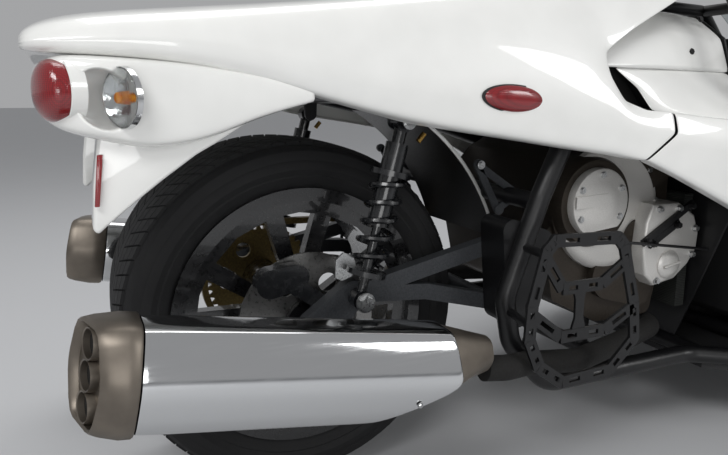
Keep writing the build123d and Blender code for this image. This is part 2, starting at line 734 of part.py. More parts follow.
# Nose cowl, from the screen's base to the nose tip
LAMP_X = 170.0
LAMP_Z = 330.0
LAMP_R = 52.0
NOSE_TABLE = [
    # y, edge x, edge z, side x, side z, ridge x, ridge z, top x, top z
    (SCREEN_BASE_Y + 20, 470, 300, 474, 540, 400, 668, 250, 702),
    (front(-60), 336, 380, 352, 520, 300, 612, 180, 644),
    (front(300), 310, 270, 334, 390, 284, 492, 170, 540),
    (front(600), 240, 225, 262, 300, 214, 368, 130, 410),
    (NOSE_Y, 120, 232, 128, 256, 104, 280, 60, 296),
]
with BuildPart() as nose_cowl:
    add(make_shell(NOSE_TABLE))
    with BuildSketch(Plane.YZ):
        with Locations((FRONT_AXLE_Y, 300)):
            Rectangle(420, 420)
    extrude(amount=700, both=True, mode=Mode.SUBTRACT)
    with BuildSketch(Plane.XZ.offset(-front(680))):
        with Locations((LAMP_X, LAMP_Z), (-LAMP_X, LAMP_Z)):
            Circle(LAMP_R + SEAT_GAP)
    extrude(amount=200, mode=Mode.SUBTRACT)
save(nose_cowl.part, "nose_cowl")

# Side sills, lofted outward-bulging walls beside the cockpit
SILL_TABLE = [
    # y, inner x, outer x, low z, belt z, top z
    (rear(535), 352, 396, 634, 672, 726),
    (rear(640), 368, 412, 597, 664, 712),
    (rear(756), 398, 462, 532, 640, 696),
    (rear(860), 440, 518, 470, 610, 690),
    (rear(960), 480, 548, 352, 540, 658),
    (rear(1125), FLOOR_HALF + SEAT_GAP, 576, 186, 440, 608),
    (rear(1150), FLOOR_HALF + SEAT_GAP, 580, FLOOR_Z + 2, 430, 600),
    (SCREEN_BASE_Y - 260, FLOOR_HALF + SEAT_GAP, 600, FLOOR_Z + 2, 400, 560),
    (SCREEN_BASE_Y, 430, 500, 200, 480, 660),
]


def sill_sections(wall):
    """Outlines of a sill, its inner side left open where a wall is given."""
    sections = []
    for y, inner_x, outer_x, low_z, belt_z, top_z in SILL_TABLE:
        reach = -20 if wall else 0
        sections.append(
            (
                y,
                [
                    (inner_x + reach, low_z + wall),
                    (outer_x - 30 - wall * 0.5, low_z + wall),
                    (outer_x - wall, belt_z),
                    (outer_x - 24 - wall * 0.5, top_z - wall),
                    (inner_x + reach, top_z - wall),
                ],
            )
        )
    return sections


seam = [(y + SEAM_GAP, z) for y, z in SEAM_LINE]
behind_seam = [(rear(614) + SEAM_GAP, 760), *seam, (rear(540) + SEAM_GAP, 560), (rear(500), 560), (rear(500), 760)]
with BuildPart() as side_sill:
    add(loft_sections(sill_sections(0)))
    add(loft_sections(sill_sections(SKIN)), mode=Mode.SUBTRACT)
    add(side_plate(behind_seam, 300, 450), mode=Mode.SUBTRACT)
save_pair(side_sill.part, "side_sill")

# Bulkhead behind the seats, and the fairing behind it: headrest humps over sloping shoulders
FAIRING_TABLE = [
    # y, edge x, edge z, crease x, crease z, shoulder x, shoulder z, top x, top z
    (rear(508), 352, 740, 330, 792, 322, 818, 270, 856),
    (rear(570), 368, 726, 328, 793, 322, 836, 262, 876),
    (rear(650), 382, 714, 326, 793, 320, 852, 250, 900),
    (rear(744), 392, 702, 322, 791, 314, 864, 240, 916),
    (BULKHEAD_Y + 2, 396, 690, 318, 787, 306, 852, 230, 906),
]
BULKHEAD_OUTLINE = [
    # Half width, z
    (250, SILL_Z + CROSS_TUBE_R + SEAT_GAP),
    (366, 520),
    (396, 690),
    (318, 787),
    (306, 852),
    (230, 906),
    (90, 906),
    (60, 880),
]
with BuildPart() as bulkhead:
    add(make_shell(FAIRING_TABLE, True))
    with BuildSketch(Plane.XZ.offset(-(BULKHEAD_Y + 10))):
        with BuildLine():
            Polyline(*BULKHEAD_OUTLINE, *[(-x, z) for x, z in reversed(BULKHEAD_OUTLINE)], close=True)
        make_face()
    extrude(amount=18)
    for side in (1, -1):
        brace = [(side * x, y, z) for x, y, z in BRACE]
        add(bar(brace, MAIN_TUBE_R + TUBE_ROOM), mode=Mode.SUBTRACT)
save(bulkhead.part, "bulkhead")

# Rear fenders: tail-lamp housing above, splash guard below
FENDER_OUTLINE = [
    (rear(-404), 795.4),
    (rear(-200), 788.4),
    (rear(-34), 743.2),
    (rear(-35), 722),
    (rear(-150), 700),
    (rear(-212), 657),
    (rear(-259), 624),
    (rear(-345), 556),
    (rear(-362), 556),
    (rear(-372), 680),
    (rear(-416), 712),
]
FENDER_X = 216.0
FENDER_WIDTH = 112.0
FENDER_ROUND = 12.0
SIGNAL_CENTRE = (rear(-314), 744.0)
SIGNAL_R = 31.0
TAIL_LENS_Z = 748.0
TAIL_LENS_SIZE = (34.0, 36.0)
with BuildPart() as rear_fender:
    add(side_plate(FENDER_OUTLINE, FENDER_X, FENDER_X + FENDER_WIDTH))
    outer_edges = rear_fender.faces().sort_by(Axis.X)[-1].edges()
    fillet(outer_edges.sort_by(Axis.Z)[:-3], FENDER_ROUND)
    with BuildSketch(Plane.YZ.offset(FENDER_X)):
        with BuildLine():
            Polyline(*FENDER_OUTLINE, close=True)
        make_face()
        offset(amount=-SKIN - FENDER_ROUND * 0.3, mode=Mode.REPLACE)
    extrude(amount=FENDER_WIDTH - SKIN, mode=Mode.SUBTRACT)
    with BuildSketch(Plane.YZ.offset(FENDER_X + FENDER_WIDTH)):
        with Locations(SIGNAL_CENTRE):
            Ellipse(SIGNAL_R + SEAT_GAP, SIGNAL_R - 2 + SEAT_GAP)
    extrude(amount=-2 * SKIN, mode=Mode.SUBTRACT)
save_pair(rear_fender.part, "rear_fender")

# Lamps
with BuildPart() as tail_lamps:
    with BuildSketch(Plane.XZ.offset(-(rear(-416) - SEAT_GAP))):
        with Locations((FENDER_X + FENDER_WIDTH / 2, TAIL_LENS_Z)):
            Ellipse(*TAIL_LENS_SIZE)
    extrude(amount=14)
    mirror(about=Plane.YZ)
save(tail_lamps.part, "tail_lamps")

with BuildPart() as turn_signals:
    with BuildSketch(Plane.YZ.offset(FENDER_X + FENDER_WIDTH - SKIN)):
        with Locations(SIGNAL_CENTRE):
            Ellipse(SIGNAL_R, SIGNAL_R - 2)
    extrude(amount=SKIN + 8)
    fillet(turn_signals.faces().sort_by(Axis.X)[-1].edges(), 5)
    mirror(about=Plane.YZ)
save(turn_signals.part, "turn_signals")

MARKER_SIZE = (125.0, 45.0)
MARKER_PLANE = Plane(origin=(355.7, rear(303), 737), x_dir=(0.115, 1, 0), z_dir=(1, -0.115, -0.06))
with BuildPart() as side_markers:
    with BuildSketch(MARKER_PLANE):
        Ellipse(MARKER_SIZE[0] / 2, MARKER_SIZE[1] / 2)
    extrude(amount=10)
    mirror(about=Plane.YZ)
save(side_markers.part, "side_markers")

with BuildPart() as headlamps:
    with BuildSketch(Plane.XZ.offset(-front(560))):
        with Locations((LAMP_X, LAMP_Z)):
            Circle(LAMP_R)
    extrude(amount=-40)
    mirror(about=Plane.YZ)
save(headlamps.part, "headlamps")

# Engine across the car: crankcase, inclined cylinders and head as one mass
ENGINE_HALF = 240.0
ENGINE_OUTLINE = [
    (rear(470), 470),
    (rear(500), 330),
    (rear(620), ENGINE_LOW_Z),
    (rear(770), ENGINE_LOW_Z),
    (rear(796), 400),
    (rear(796), 640),
    (rear(700), 660),
    (rear(600), 610),
]
CLUTCH_CENTRE = (rear(580), 520.0)
COVER_R = 70.0
COVER_BACK_R = 100.0
COVER_DEPTH = 34.0
DOME = 6.0
LUG_R = 13.0
CASE_BOSSES = [
    # Circles that a boss wraps round, then its height off the engine's side
    ([(*CLUTCH_CENTRE, COVER_BACK_R)], 10),
    ([(rear(708), 440, 54), (rear(758), 400, 40)], 26),
    ([(rear(640), 372, 52), (rear(720), 330, 34)], 18),
    ([(rear(708), 584, 40), (rear(762), 604, 34)], 20),
]
FILTER_CENTRE = (rear(762), 398.0)
HEAD_OUTLINE = [
    (rear(690), 640),
    (rear(672), 690),
    (rear(770), 716),
    (rear(806), 664),
    (rear(800), 640),
]
with BuildPart() as engine_block:
    add(side_plate(ENGINE_OUTLINE, -ENGINE_HALF, ENGINE_HALF, 20))
    add(side_plate(HEAD_OUTLINE, -ENGINE_HALF + 40, ENGINE_HALF - 40, 12))
    for fin in range(5):
        add(side_plate([(rear(700), 618), (rear(660), 640), (rear(668), 652), (rear(812), 652), (rear(812), 618)],
            -180 + 84 * fin, -168 + 84 * fin))
    for circles, height in CASE_BOSSES:
        add(link_plate(circles, ENGINE_HALF - 1, ENGINE_HALF + height))
        if circles[0][0] != CLUTCH_CENTRE[0]:
            add(link_plate(circles, -ENGINE_HALF - height, 1 - ENGINE_HALF))
    add(cross_pin(*FILTER_CENTRE, 29, ENGINE_HALF, ENGINE_HALF + 48))
    sprocket_room = DRIVE_SPROCKET_R + CHAIN_GAP + CHAIN_DEPTH + 8
    pocket = [(DRIVE_SPROCKET_Y, DRIVE_SPROCKET_Z, sprocket_room), (rear(300), DRIVE_SPROCKET_Z, 1.5 * sprocket_room)]
    add(link_plate(pocket, -ENGINE_HALF - 60, SPROCKET_X + 14), mode=Mode.SUBTRACT)
    add(cross_pin(DRIVE_SPROCKET_Y, DRIVE_SPROCKET_Z, DRIVE_SPROCKET_R, SPROCKET_X - 4, SPROCKET_X + 16))
save(engine_block.part, "engine_block")

# Clutch cover: a round cap with six bolt lugs, its foot cut off straight, and a blank raised plate
COVER_FROM = ENGINE_HALF + CASE_BOSSES[0][1] + SEAT_GAP
with BuildPart() as clutch_cover:
    with BuildSketch(Plane.YZ.offset(COVER_FROM)):
        with Locations(CLUTCH_CENTRE):
            Circle(COVER_R)
            with PolarLocations(COVER_R - 2, 6, start_angle=30):
                Circle(LUG_R)
            with Locations((0, -COVER_R - 4)):
                Rectangle(2 * COVER_R, 40, mode=Mode.SUBTRACT)
    extrude(amount=COVER_DEPTH - DOME)
    with BuildSketch(Plane.YZ.offset(COVER_FROM + COVER_DEPTH - DOME)):
        with Locations(CLUTCH_CENTRE):
            Circle(COVER_R - 3)
            with Locations((0, -COVER_R - 4)):
                Rectangle(2 * COVER_R, 46, mode=Mode.SUBTRACT)
    extrude(amount=DOME, taper=35)
    with BuildSketch(Plane.YZ.offset(COVER_FROM + COVER_DEPTH)):
        with Locations((CLUTCH_CENTRE[0], CLUTCH_CENTRE[1] + 4)):
            RectangleRounded(72, 22, 3)
    extrude(amount=2)
    with BuildSketch(Plane.YZ.offset(COVER_FROM + COVER_DEPTH - DOME)):
        with Locations(CLUTCH_CENTRE):
            with PolarLocations(COVER_R + 2, 6, start_angle=30):
                Circle(5)
    extrude(amount=-8, mode=Mode.SUBTRACT)
save(clutch_cover.part, "clutch_cover")

# Radiator ahead of the engine, below the bulkhead
with BuildPart() as radiator:
    with Locations((0, BULKHEAD_Y - 8 - SEAT_GAP - 13, 410)):
        Box(540, 26, 250)
save(radiator.part, "radiator")

# Silencers, one each side, with pipes from the engine
SILENCER_X = 400.0
SILENCER_RISE = 9.0
SILENCER_FRONT = (rear(140), 306.0)
SILENCER_LENGTH = 470.0
SILENCER_HEIGHT = 150.0
SILENCER_WIDTH = 130.0
CAP_LENGTH = 75.0
CONE_LENGTH = 90.0
PIPE_R = 27.0


def silencer_plane(along):
    """Plane across a silencer, a distance back from the front of its sleeve."""
    back_y, back_z = -cos(radians(SILENCER_RISE)), sin(radians(SILENCER_RISE))
    origin = (SILENCER_X, SILENCER_FRONT[0] + along * back_y, SILENCER_FRONT[1] + along * back_z)
    return Plane(origin=origin, x_dir=(1, 0, 0), z_dir=(0, back_y, back_z))


def draw_silencer(grow=0.0):
    """Six-sided section with rounded corners, its side corners at mid height."""
    half_x, half_z = SILENCER_WIDTH / 2 + grow, SILENCER_HEIGHT / 2 + grow
    corners = [(half_x, 0), (0.6 * half_x, half_z), (-0.6 * half_x, half_z)]
    corners += [(-x, -z) for x, z in corners]
    with BuildSketch(mode=Mode.PRIVATE) as section:
        with BuildLine():
            Polyline(*corners, close=True)
        make_face()
        fillet(section.vertices(), 24)
    return section.sketch


with BuildPart() as silencer:
    with BuildSketch(silencer_plane(0)):
        add(draw_silencer())
    extrude(amount=SILENCER_LENGTH)
    with BuildSketch(silencer_plane(0)):
        add(draw_silencer())
    with BuildSketch(silencer_plane(-0.55 * CONE_LENGTH)):
        add(draw_silencer(-32))
    loft(ruled=True)
    with BuildSketch(silencer_plane(-0.5 * CONE_LENGTH)):
        Circle(PIPE_R)
    extrude(amount=-0.5 * CONE_LENGTH)
save_pair(silencer.part, "silencer")

OUTLET_R = 21.0
with BuildPart() as silencer_caps:
    with BuildSketch(silencer_plane(SILENCER_LENGTH + SEAT_GAP)):
        add(draw_silencer(2))
    extrude(amount=CAP_LENGTH)
    with BuildSketch(silencer_plane(SILENCER_LENGTH + CAP_LENGTH + SEAT_GAP)):
        add(draw_silencer(-4))
    extrude(amount=-12, mode=Mode.SUBTRACT)
    with BuildSketch(silencer_plane(SILENCER_LENGTH + CAP_LENGTH - 12)):
        with Locations((0, 46), (0, 0), (0, -46)):
            Circle(OUTLET_R + 3)
    extrude(amount=8)
    with BuildSketch(silencer_plane(SILENCER_LENGTH + CAP_LENGTH)):
        with Locations((0, 46), (0, 0), (0, -46)):
            Circle(OUTLET_R)
    extrude(amount=-60, mode=Mode.SUBTRACT)
    mirror(about=Plane.YZ)
save(silencer_caps.part, "silencer_caps")

pipe_end = silencer_plane(-CONE_LENGTH - SEAT_GAP).origin
with BuildPart() as exhaust_pipes:
    add(
        bar(
            [
                tuple(pipe_end),
                tuple(silencer_plane(-CONE_LENGTH - 45).origin),
                (366, rear(345), 268),
                (350, rear(480), 246),
                (300, rear(640), 243),
                (255, rear(770), 243),
                (120, rear(785), 243),
            ],
            22,
            40,
        )
    )
    add(bar([(363, rear(367), 264), (REAR_LEG_X + MAIN_TUBE_R + SEAT_GAP, rear(367), 264)], 9))
    mirror(about=Plane.YZ)
save(exhaust_pipes.part, "exhaust_pipes")

# Pannier racks: flat-bar loops with two cross bars, on stubs from the rear legs
RACK_X = 412.0
RACK_THICK = 8.0
RACK_BAR = 22.0
RACK_OUTLINE = [
    (rear(349), 503),
    (rear(509), 498),
    (rear(553), 371),
    (rear(560), 282),
    (rear(513), 240),
    (rear(396), 229),
    (rear(325), 276),
    (rear(328), 400),
]
RACK_V = [
    # Ends and foot of the upper cross bar's V, then the same for the lower bar
    ((rear(352), 448), (rear(432), 400), (rear(528), 442)),
    ((rear(342), 350), (rear(436), 300), (rear(540), 342)),
]
SLOT_LENGTH = 46.0
with BuildPart() as pannier_rack:
    with BuildSketch(Plane.YZ.offset(RACK_X)) as rack:
        with BuildLine():
            Polyline(*RACK_OUTLINE, close=True)
        make_face()
        fillet(rack.vertices(), 16)
        offset(amount=-RACK_BAR, mode=Mode.SUBTRACT)
        for left, foot, right in RACK_V:
            with BuildLine():
                Polyline(left, foot, right, (right[0], right[1] - 24), (foot[0], foot[1] - 24), (left[0], left[1] - 24), close=True)
            make_face()
        with Locations((rear(434), 345)):
            Rectangle(34, 120)
        with Locations((rear(434), 372), (rear(434), 322)):
            Circle(7, mode=Mode.SUBTRACT)
        for a, b in zip(RACK_OUTLINE, RACK_OUTLINE[1:] + RACK_OUTLINE[:1]):
            run = sqrt((b[0] - a[0]) ** 2 + (b[1] - a[1]) ** 2)
            tilt = degrees(atan2(b[1] - a[1], b[0] - a[0]))
            middle = Vector((a[0] + b[0]) / 2, (a[1] + b[1]) / 2) + Vector(
                (b[1] - a[1]) / run, (a[0] - b[0]) / run
            ) * (RACK_BAR / 2)
            if run > 1.8 * SLOT_LENGTH:
                with Locations(Location((middle.X, middle.Y, 0), (0, 0, tilt))):
                    SlotOverall(SLOT_LENGTH, 8, mode=Mode.SUBTRACT)
    extrude(amount=RACK_THICK)
    for y, z in ((rear(368), 470), (rear(338), 352)):
        add(bar([(REAR_LEG_X + MAIN_TUBE_R + SEAT_GAP, y, z), (RACK_X + 1, y, z)], 8))
save_pair(pannier_rack.part, "pannier_rack")

# White guard between the rear tyre and the engine
beam_r = sqrt((GUARD_BEAM_Y - REAR_AXLE_Y) ** 2 + (GUARD_BEAM_Z - REAR_TYRE_R) ** 2)
GUARD_FROM = 16.0
GUARD_TO = 60.0
GUARD_R = beam_r - CROSS_TUBE_R - SEAT_GAP - SKIN
with BuildPart() as wheel_guard:
    with BuildSketch(wheel_section_plane(REAR_CENTRE, GUARD_FROM)):
        with Locations((0, GUARD_R + SKIN / 2)):
            Rectangle(2 * 140, SKIN)
    revolve(axis=wheel_axis(REAR_CENTRE), revolution_arc=GUARD_TO - GUARD_FROM)
save(wheel_guard.part, "wheel_guard")

# Seats: one-piece buckets with raised sides, drawn in side view
SEAT_X = 225.0
SEAT_WIDTH = 362.0
SEAT_SIDE = 55.0
SEAT_BASE_Z = 210.0
SEAT_PROFILE = [
    (BULKHEAD_Y + 40, 860),
    (BULKHEAD_Y + 110, 860),
    (BULKHEAD_Y + 260, 330),
    (BULKHEAD_Y + 640, 340),
    (BULKHEAD_Y + 660, SEAT_BASE_Z),
    (BULKHEAD_Y + 200, SEAT_BASE_Z),
    (BULKHEAD_Y + 150, 240),
]
SEAT_SIDE_PROFILE = [
    (BULKHEAD_Y + 70, 800),
    (BULKHEAD_Y + 170, 780),
    (BULKHEAD_Y + 330, 420),
    (BULKHEAD_Y + 600, 400),
    (BULKHEAD_Y + 640, 300),
    (BULKHEAD_Y + 200, 240),
]
with BuildPart() as seat:
    add(side_plate(SEAT_PROFILE, SEAT_X - SEAT_WIDTH / 2, SEAT_X + SEAT_WIDTH / 2))
    for inner in (SEAT_X - SEAT_WIDTH / 2, SEAT_X + SEAT_WIDTH / 2 - SEAT_SIDE):
        add(side_plate(SEAT_SIDE_PROFILE, inner, inner + SEAT_SIDE))
save_pair(seat.part, "seat")

with BuildPart() as seat_mounts:
    with BuildSketch(Plane.XY.offset(FLOOR_Z + FLOOR_THICK + SEAT_GAP)):
        with Locations((SEAT_X - 120, BULKHEAD_Y + 420), (SEAT_X + 100, BULKHEAD_Y + 420)):
            Rectangle(30, 400)
    extrude(amount=SEAT_BASE_Z - FLOOR_Z - FLOOR_THICK - 2 * SEAT_GAP)
    mirror(about=Plane.YZ)
save(seat_mounts.part, "seat_mounts")

# Dashboard across the cockpit, with the steering column passing through it
DRIVER_X = -SEAT_X
WHEEL_CENTRE = (DRIVER_X, SCREEN_BASE_Y - 330, 640.0)
COLUMN_END = (DRIVER_X + 60, RACK_Y - 40, 330.0)
COLUMN_R = 16.0
DASH_OUTLINE = [
    (SCREEN_BASE_Y + 10, 690),
    (SCREEN_BASE_Y - 180, 700),
    (SCREEN_BASE_Y - 230, 640),
    (SCREEN_BASE_Y - 190, 540),
    (DASH_BEAM[0], DASH_BEAM[1] + CROSS_TUBE_R + SEAT_GAP),
]
with BuildPart() as dashboard:
    add(side_plate(DASH_OUTLINE, -330, 330))
    add(bar([WHEEL_CENTRE, COLUMN_END], COLUMN_R + SEAT_GAP), mode=Mode.SUBTRACT)
save(dashboard.part, "dashboard")

# Windscreen: bent sheet between its base and the cage's front bar
SCREEN_THICK = 5.0
screen_foot = (0, SCREEN_BASE_Y - 10, 695.5)
screen_head = (0, SCREEN_TOP_Y + 40, CAGE_TOP_Z - 44)
SCREEN_RUN = sqrt((screen_head[1] - screen_foot[1]) ** 2 + (screen_head[2] - screen_foot[2]) ** 2)
SCREEN_UP = (0, (screen_head[1] - screen_foot[1]) / SCREEN_RUN, (screen_head[2] - screen_foot[2]) / SCREEN_RUN)
with BuildPart() as windscreen:
    with BuildSketch(Plane(origin=screen_foot, x_dir=(1, 0, 0), z_dir=SCREEN_UP)):
        with BuildLine():
            ThreePointArc((-270, 0), (0, 60), (270, 0))
            Line((270, 0), (270, -SCREEN_THICK))
            ThreePointArc((270, -SCREEN_THICK), (0, 60 - SCREEN_THICK), (-270, -SCREEN_THICK))
            Line((-270, -SCREEN_THICK), (-270, 0))
        make_face()
    extrude(amount=SCREEN_RUN)
save(windscreen.part, "windscreen")

def make_arms(pivots, pivot_z, ball_z, shock_x=None):
    """Pair of wishbones: two legs from the frame to one ball joint, with a bush at each pivot."""
    with BuildPart() as arms:
        for x, y in pivots:
            add(bar([(x, front(y), pivot_z), (KINGPIN_X, FRONT_AXLE_Y, ball_z)], ARM_R))
            add(lengthwise_pin(x, pivot_z, BUSH_R, front(y) - BUSH_HALF, front(y) + BUSH_HALF))
        if shock_x:
            half = 150 * (KINGPIN_X - shock_x) / (KINGPIN_X - pivots[0][0])
            add(lengthwise_pin(shock_x, FRONT_SHOCK_FOOT[2], PIN_R, FRONT_AXLE_Y - half, FRONT_AXLE_Y + half))
        with BuildSketch(Plane.XY.offset(ball_z)):
            with Locations((KINGPIN_X, FRONT_AXLE_Y)):
                Circle(BALL_R)
        extrude(amount=12, both=True)
        for x, y in pivots:
            room = (front(y) - 2 * BUSH_HALF, front(y) + 2 * BUSH_HALF)
            add(lengthwise_pin(x, pivot_z, PIN_R + RUNNING_GAP, *room), mode=Mode.SUBTRACT)
        mirror(about=Plane.YZ)
    return arms.part


save(make_arms(LOWER_PIVOTS, LOWER_PIVOT_Z, BALL_LOW_Z, FRONT_SHOCK_FOOT[0]), "lower_arms")
save(make_arms(UPPER_PIVOTS, UPPER_PIVOT_Z, BALL_HIGH_Z), "upper_arms")

front_damper, front_spring = make_coil_over(
    FRONT_SHOCK_FOOT, FRONT_SHOCK_TOP, FRONT_EYE_R, 17, 8, 30, (0, 1, 0)
)
for pieces, name in (((rear_damper, front_damper), "dampers"), ((rear_spring, front_spring), "springs")):
    with BuildPart() as both:
        for piece in pieces:
            add(piece)
        mirror(about=Plane.YZ)
    save(both.part, name)

# Knuckles: upright between the two ball joints, stub axle, steering arm and brake caliper
FRONT_CENTRE = (FRONT_WHEEL_X, FRONT_AXLE_Y, FRONT_TYRE_R)
STUB_R = 16.0
FRONT_HUB_R = 40.0
FRONT_DISC_X = FRONT_WHEEL_X - 34.0
FRONT_DISC_R = 135.0
STEER_ARM_Z = 252.0
STEER_ARM_THICK = 14.0
KNUCKLE_GAP = 1.0
with BuildPart() as knuckle:
    low = BALL_LOW_Z + 12 + KNUCKLE_GAP
    high = BALL_HIGH_Z - 12 - KNUCKLE_GAP
    with BuildSketch(Plane.XY.offset(low)):
        with Locations((KINGPIN_X, FRONT_AXLE_Y)):
            RectangleRounded(30, 60, 8)
    extrude(amount=high - low)
    add(cross_pin(FRONT_AXLE_Y, FRONT_TYRE_R, 34, KINGPIN_X, FRONT_DISC_X - 14))
    add(cross_pin(FRONT_AXLE_Y, FRONT_TYRE_R, STUB_R, KINGPIN_X, FRONT_WHEEL_X + 26))
    with BuildSketch(Plane.XY.offset(STEER_ARM_Z)):
        with BuildLine():
            CenterArc((KINGPIN_X, FRONT_AXLE_Y), 15, 0, 360)
            CenterArc((KINGPIN_X, FRONT_AXLE_Y - STEER_ARM), 14, 0, 360)
        make_hull()
    extrude(amount=STEER_ARM_THICK)
save_pair(knuckle.part, "knuckle")

for side, name in ((1, "right"), (-1, "left")):
    centre = (side * FRONT_CENTRE[0], FRONT_CENTRE[1], FRONT_CENTRE[2])
    tyre = make_tyre(centre, FRONT_TYRE_R, FRONT_TYRE_WIDTH, FRONT_BEAD_R, FRONT_RIM_WIDTH)
    save(tyre, f"front_tyre_{name}")
    hub = sorted((side * (FRONT_DISC_X - 8 - FRONT_WHEEL_X), side * 72))
    rim = make_rim(centre, FRONT_BEAD_R, FRONT_RIM_WIDTH, side, 84.0, FRONT_HUB_R, STUB_R + RUNNING_GAP, *hub)
    save(rim, f"front_rim_{name}")
    disc = make_disc(centre, side * (FRONT_DISC_X - FRONT_WHEEL_X), FRONT_DISC_R, FRONT_HUB_R, 6.0)
    save(disc, f"front_disc_{name}")

# Front fenders, turning with the knuckles
FENDER_R = FRONT_TYRE_R + 34
FRONT_FENDER_HALF = 100.0
LIP_R = FENDER_R - 15
FENDER_FROM = 38.0
FENDER_TO = 164.0
STAY_X = FRONT_WHEEL_X - FRONT_TYRE_WIDTH / 2 - 14
with BuildPart() as front_fender:
    with BuildSketch(wheel_section_plane(FRONT_CENTRE, FENDER_FROM)):
        with BuildLine():
            Polyline(
                (-FRONT_FENDER_HALF, FENDER_R - 22),
                (-FRONT_FENDER_HALF, FENDER_R - 8),
                (-FRONT_FENDER_HALF + 24, FENDER_R + SKIN),
                (FRONT_FENDER_HALF - 24, FENDER_R + SKIN),
                (FRONT_FENDER_HALF, FENDER_R - 8),
                (FRONT_FENDER_HALF, FENDER_R - 22),
                (FRONT_FENDER_HALF - SKIN, FENDER_R - 22),
                (FRONT_FENDER_HALF - SKIN, FENDER_R - 9),
                (FRONT_FENDER_HALF - 25, FENDER_R),
                (-FRONT_FENDER_HALF + 25, FENDER_R),
                (-FRONT_FENDER_HALF + SKIN, FENDER_R - 9),
                (-FRONT_FENDER_HALF + SKIN, FENDER_R - 22),
                close=True,
            )
        make_face()
    revolve(axis=wheel_axis(FRONT_CENTRE), revolution_arc=FENDER_TO - FENDER_FROM)
    for angle in (60, 122):
        lip_y = front(LIP_R * cos(radians(angle)))
        lip_z = FRONT_TYRE_R + LIP_R * sin(radians(angle))
        side = 1 if angle < 90 else -1
        stay = [
            (KINGPIN_X - 15 - SEAT_GAP, front(side * 26), 300),
            (STAY_X, front(side * 26), 300),
            (STAY_X, lip_y, lip_z),
            (FRONT_WHEEL_X - FRONT_FENDER_HALF + 2, lip_y, lip_z),
        ]
        add(bar(stay, 6, 10))
save_pair(front_fender.part, "front_fender")

# Steering: rack with tie rods, column and wheel
RACK_Z = STEER_ARM_Z - 10.0
RACK_HALF = 250.0
ROD_END_R = 14.0
with BuildPart() as steering_rack:
    add(bar([(-KINGPIN_X + 6, RACK_Y, RACK_Z - 4), (KINGPIN_X - 6, RACK_Y, RACK_Z - 4)], 7))
    for side in (1, -1):
        with BuildSketch(Plane.XY.offset(STEER_ARM_Z - KNUCKLE_GAP)):
            with Locations((side * KINGPIN_X, RACK_Y)):
                Circle(ROD_END_R)
        extrude(amount=-22)
save(steering_rack.part, "steering_rack")

with BuildPart() as rack_housing:
    with BuildSketch(Plane.YZ.offset(-180)):
        with Locations((RACK_Y, RACK_Z - 4)):
            Circle(24)
            Circle(7 + RUNNING_GAP, mode=Mode.SUBTRACT)
    extrude(amount=360)
    foot_z = SILL_Z + CROSS_TUBE_R + SEAT_GAP
    for across in (-130, 100):
        with Locations((across + 15, RACK_Y, (foot_z + RACK_Z - 18) / 2)):
            Box(30, 24, RACK_Z - 18 - foot_z)
save(rack_housing.part, "rack_housing")

STEER_RIM_R = 150.0
column_run = tuple(b - a for a, b in zip(WHEEL_CENTRE, COLUMN_END))
column_length = sqrt(sum(v * v for v in column_run))
column_dir = tuple(v / column_length for v in column_run)
wheel_plane = Plane(origin=WHEEL_CENTRE, x_dir=(1, 0, 0), z_dir=tuple(-v for v in column_dir))
with BuildPart() as steering_wheel:
    with BuildSketch(wheel_plane):
        Circle(34)
        for angle in (0, 180, 270):
            with Locations(Rot(0, 0, angle) * Pos(STEER_RIM_R / 2, 0)):
                Rectangle(STEER_RIM_R, 24)
    extrude(amount=6, both=True)
    with BuildSketch(Plane(origin=wheel_plane.from_local_coords(Vector(STEER_RIM_R, 0, 0)), x_dir=column_dir, z_dir=(0, 1, 0))):
        Circle(14)
    revolve(axis=Axis(WHEEL_CENTRE, column_dir))
save(steering_wheel.part, "steering_wheel")

with BuildPart() as steering_column:
    start = tuple(c + d * (6 + SEAT_GAP) for c, d in zip(WHEEL_CENTRE, column_dir))
    add(bar([start, COLUMN_END], COLUMN_R))
save(steering_column.part, "steering_column")

# Mirrors on stalks from the screen pillars
with BuildPart() as mirrors:
    pillar = on_line(CAGE_RUN[2], CAGE_RUN[1], 0.13)
    add(bar([(pillar[0] + MAIN_TUBE_R + 5 * SEAT_GAP, *pillar[1:]), (610, SCREEN_BASE_Y - 112, 790)], 8))
    with Locations(Pos(660, SCREEN_BASE_Y - 120, 812)):
        Box(160, 50, 90)
    mirror(about=Plane.YZ)
save(mirrors.part, "mirrors")

# Pedals at the front of the tub
with BuildPart() as pedals:
    for across in (-236, -170, -105):
        with Locations((across, SCREEN_BASE_Y + 40, FLOOR_Z + FLOOR_THICK + SEAT_GAP + 70)):
            Box(44, 10, 140)
save(pedals.part, "pedals")
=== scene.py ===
"""Open three-wheeled sports car: body panels, wheels, running gear and finishes on its frame."""
import json
from math import atan2, cos, exp, pi, radians, sin

import bmesh
import bpy
from bpy.props import FloatProperty, FloatVectorProperty, IntProperty, PointerProperty, StringProperty
from bpy.types import Operator, Panel, PropertyGroup
from mathutils import Matrix, Vector


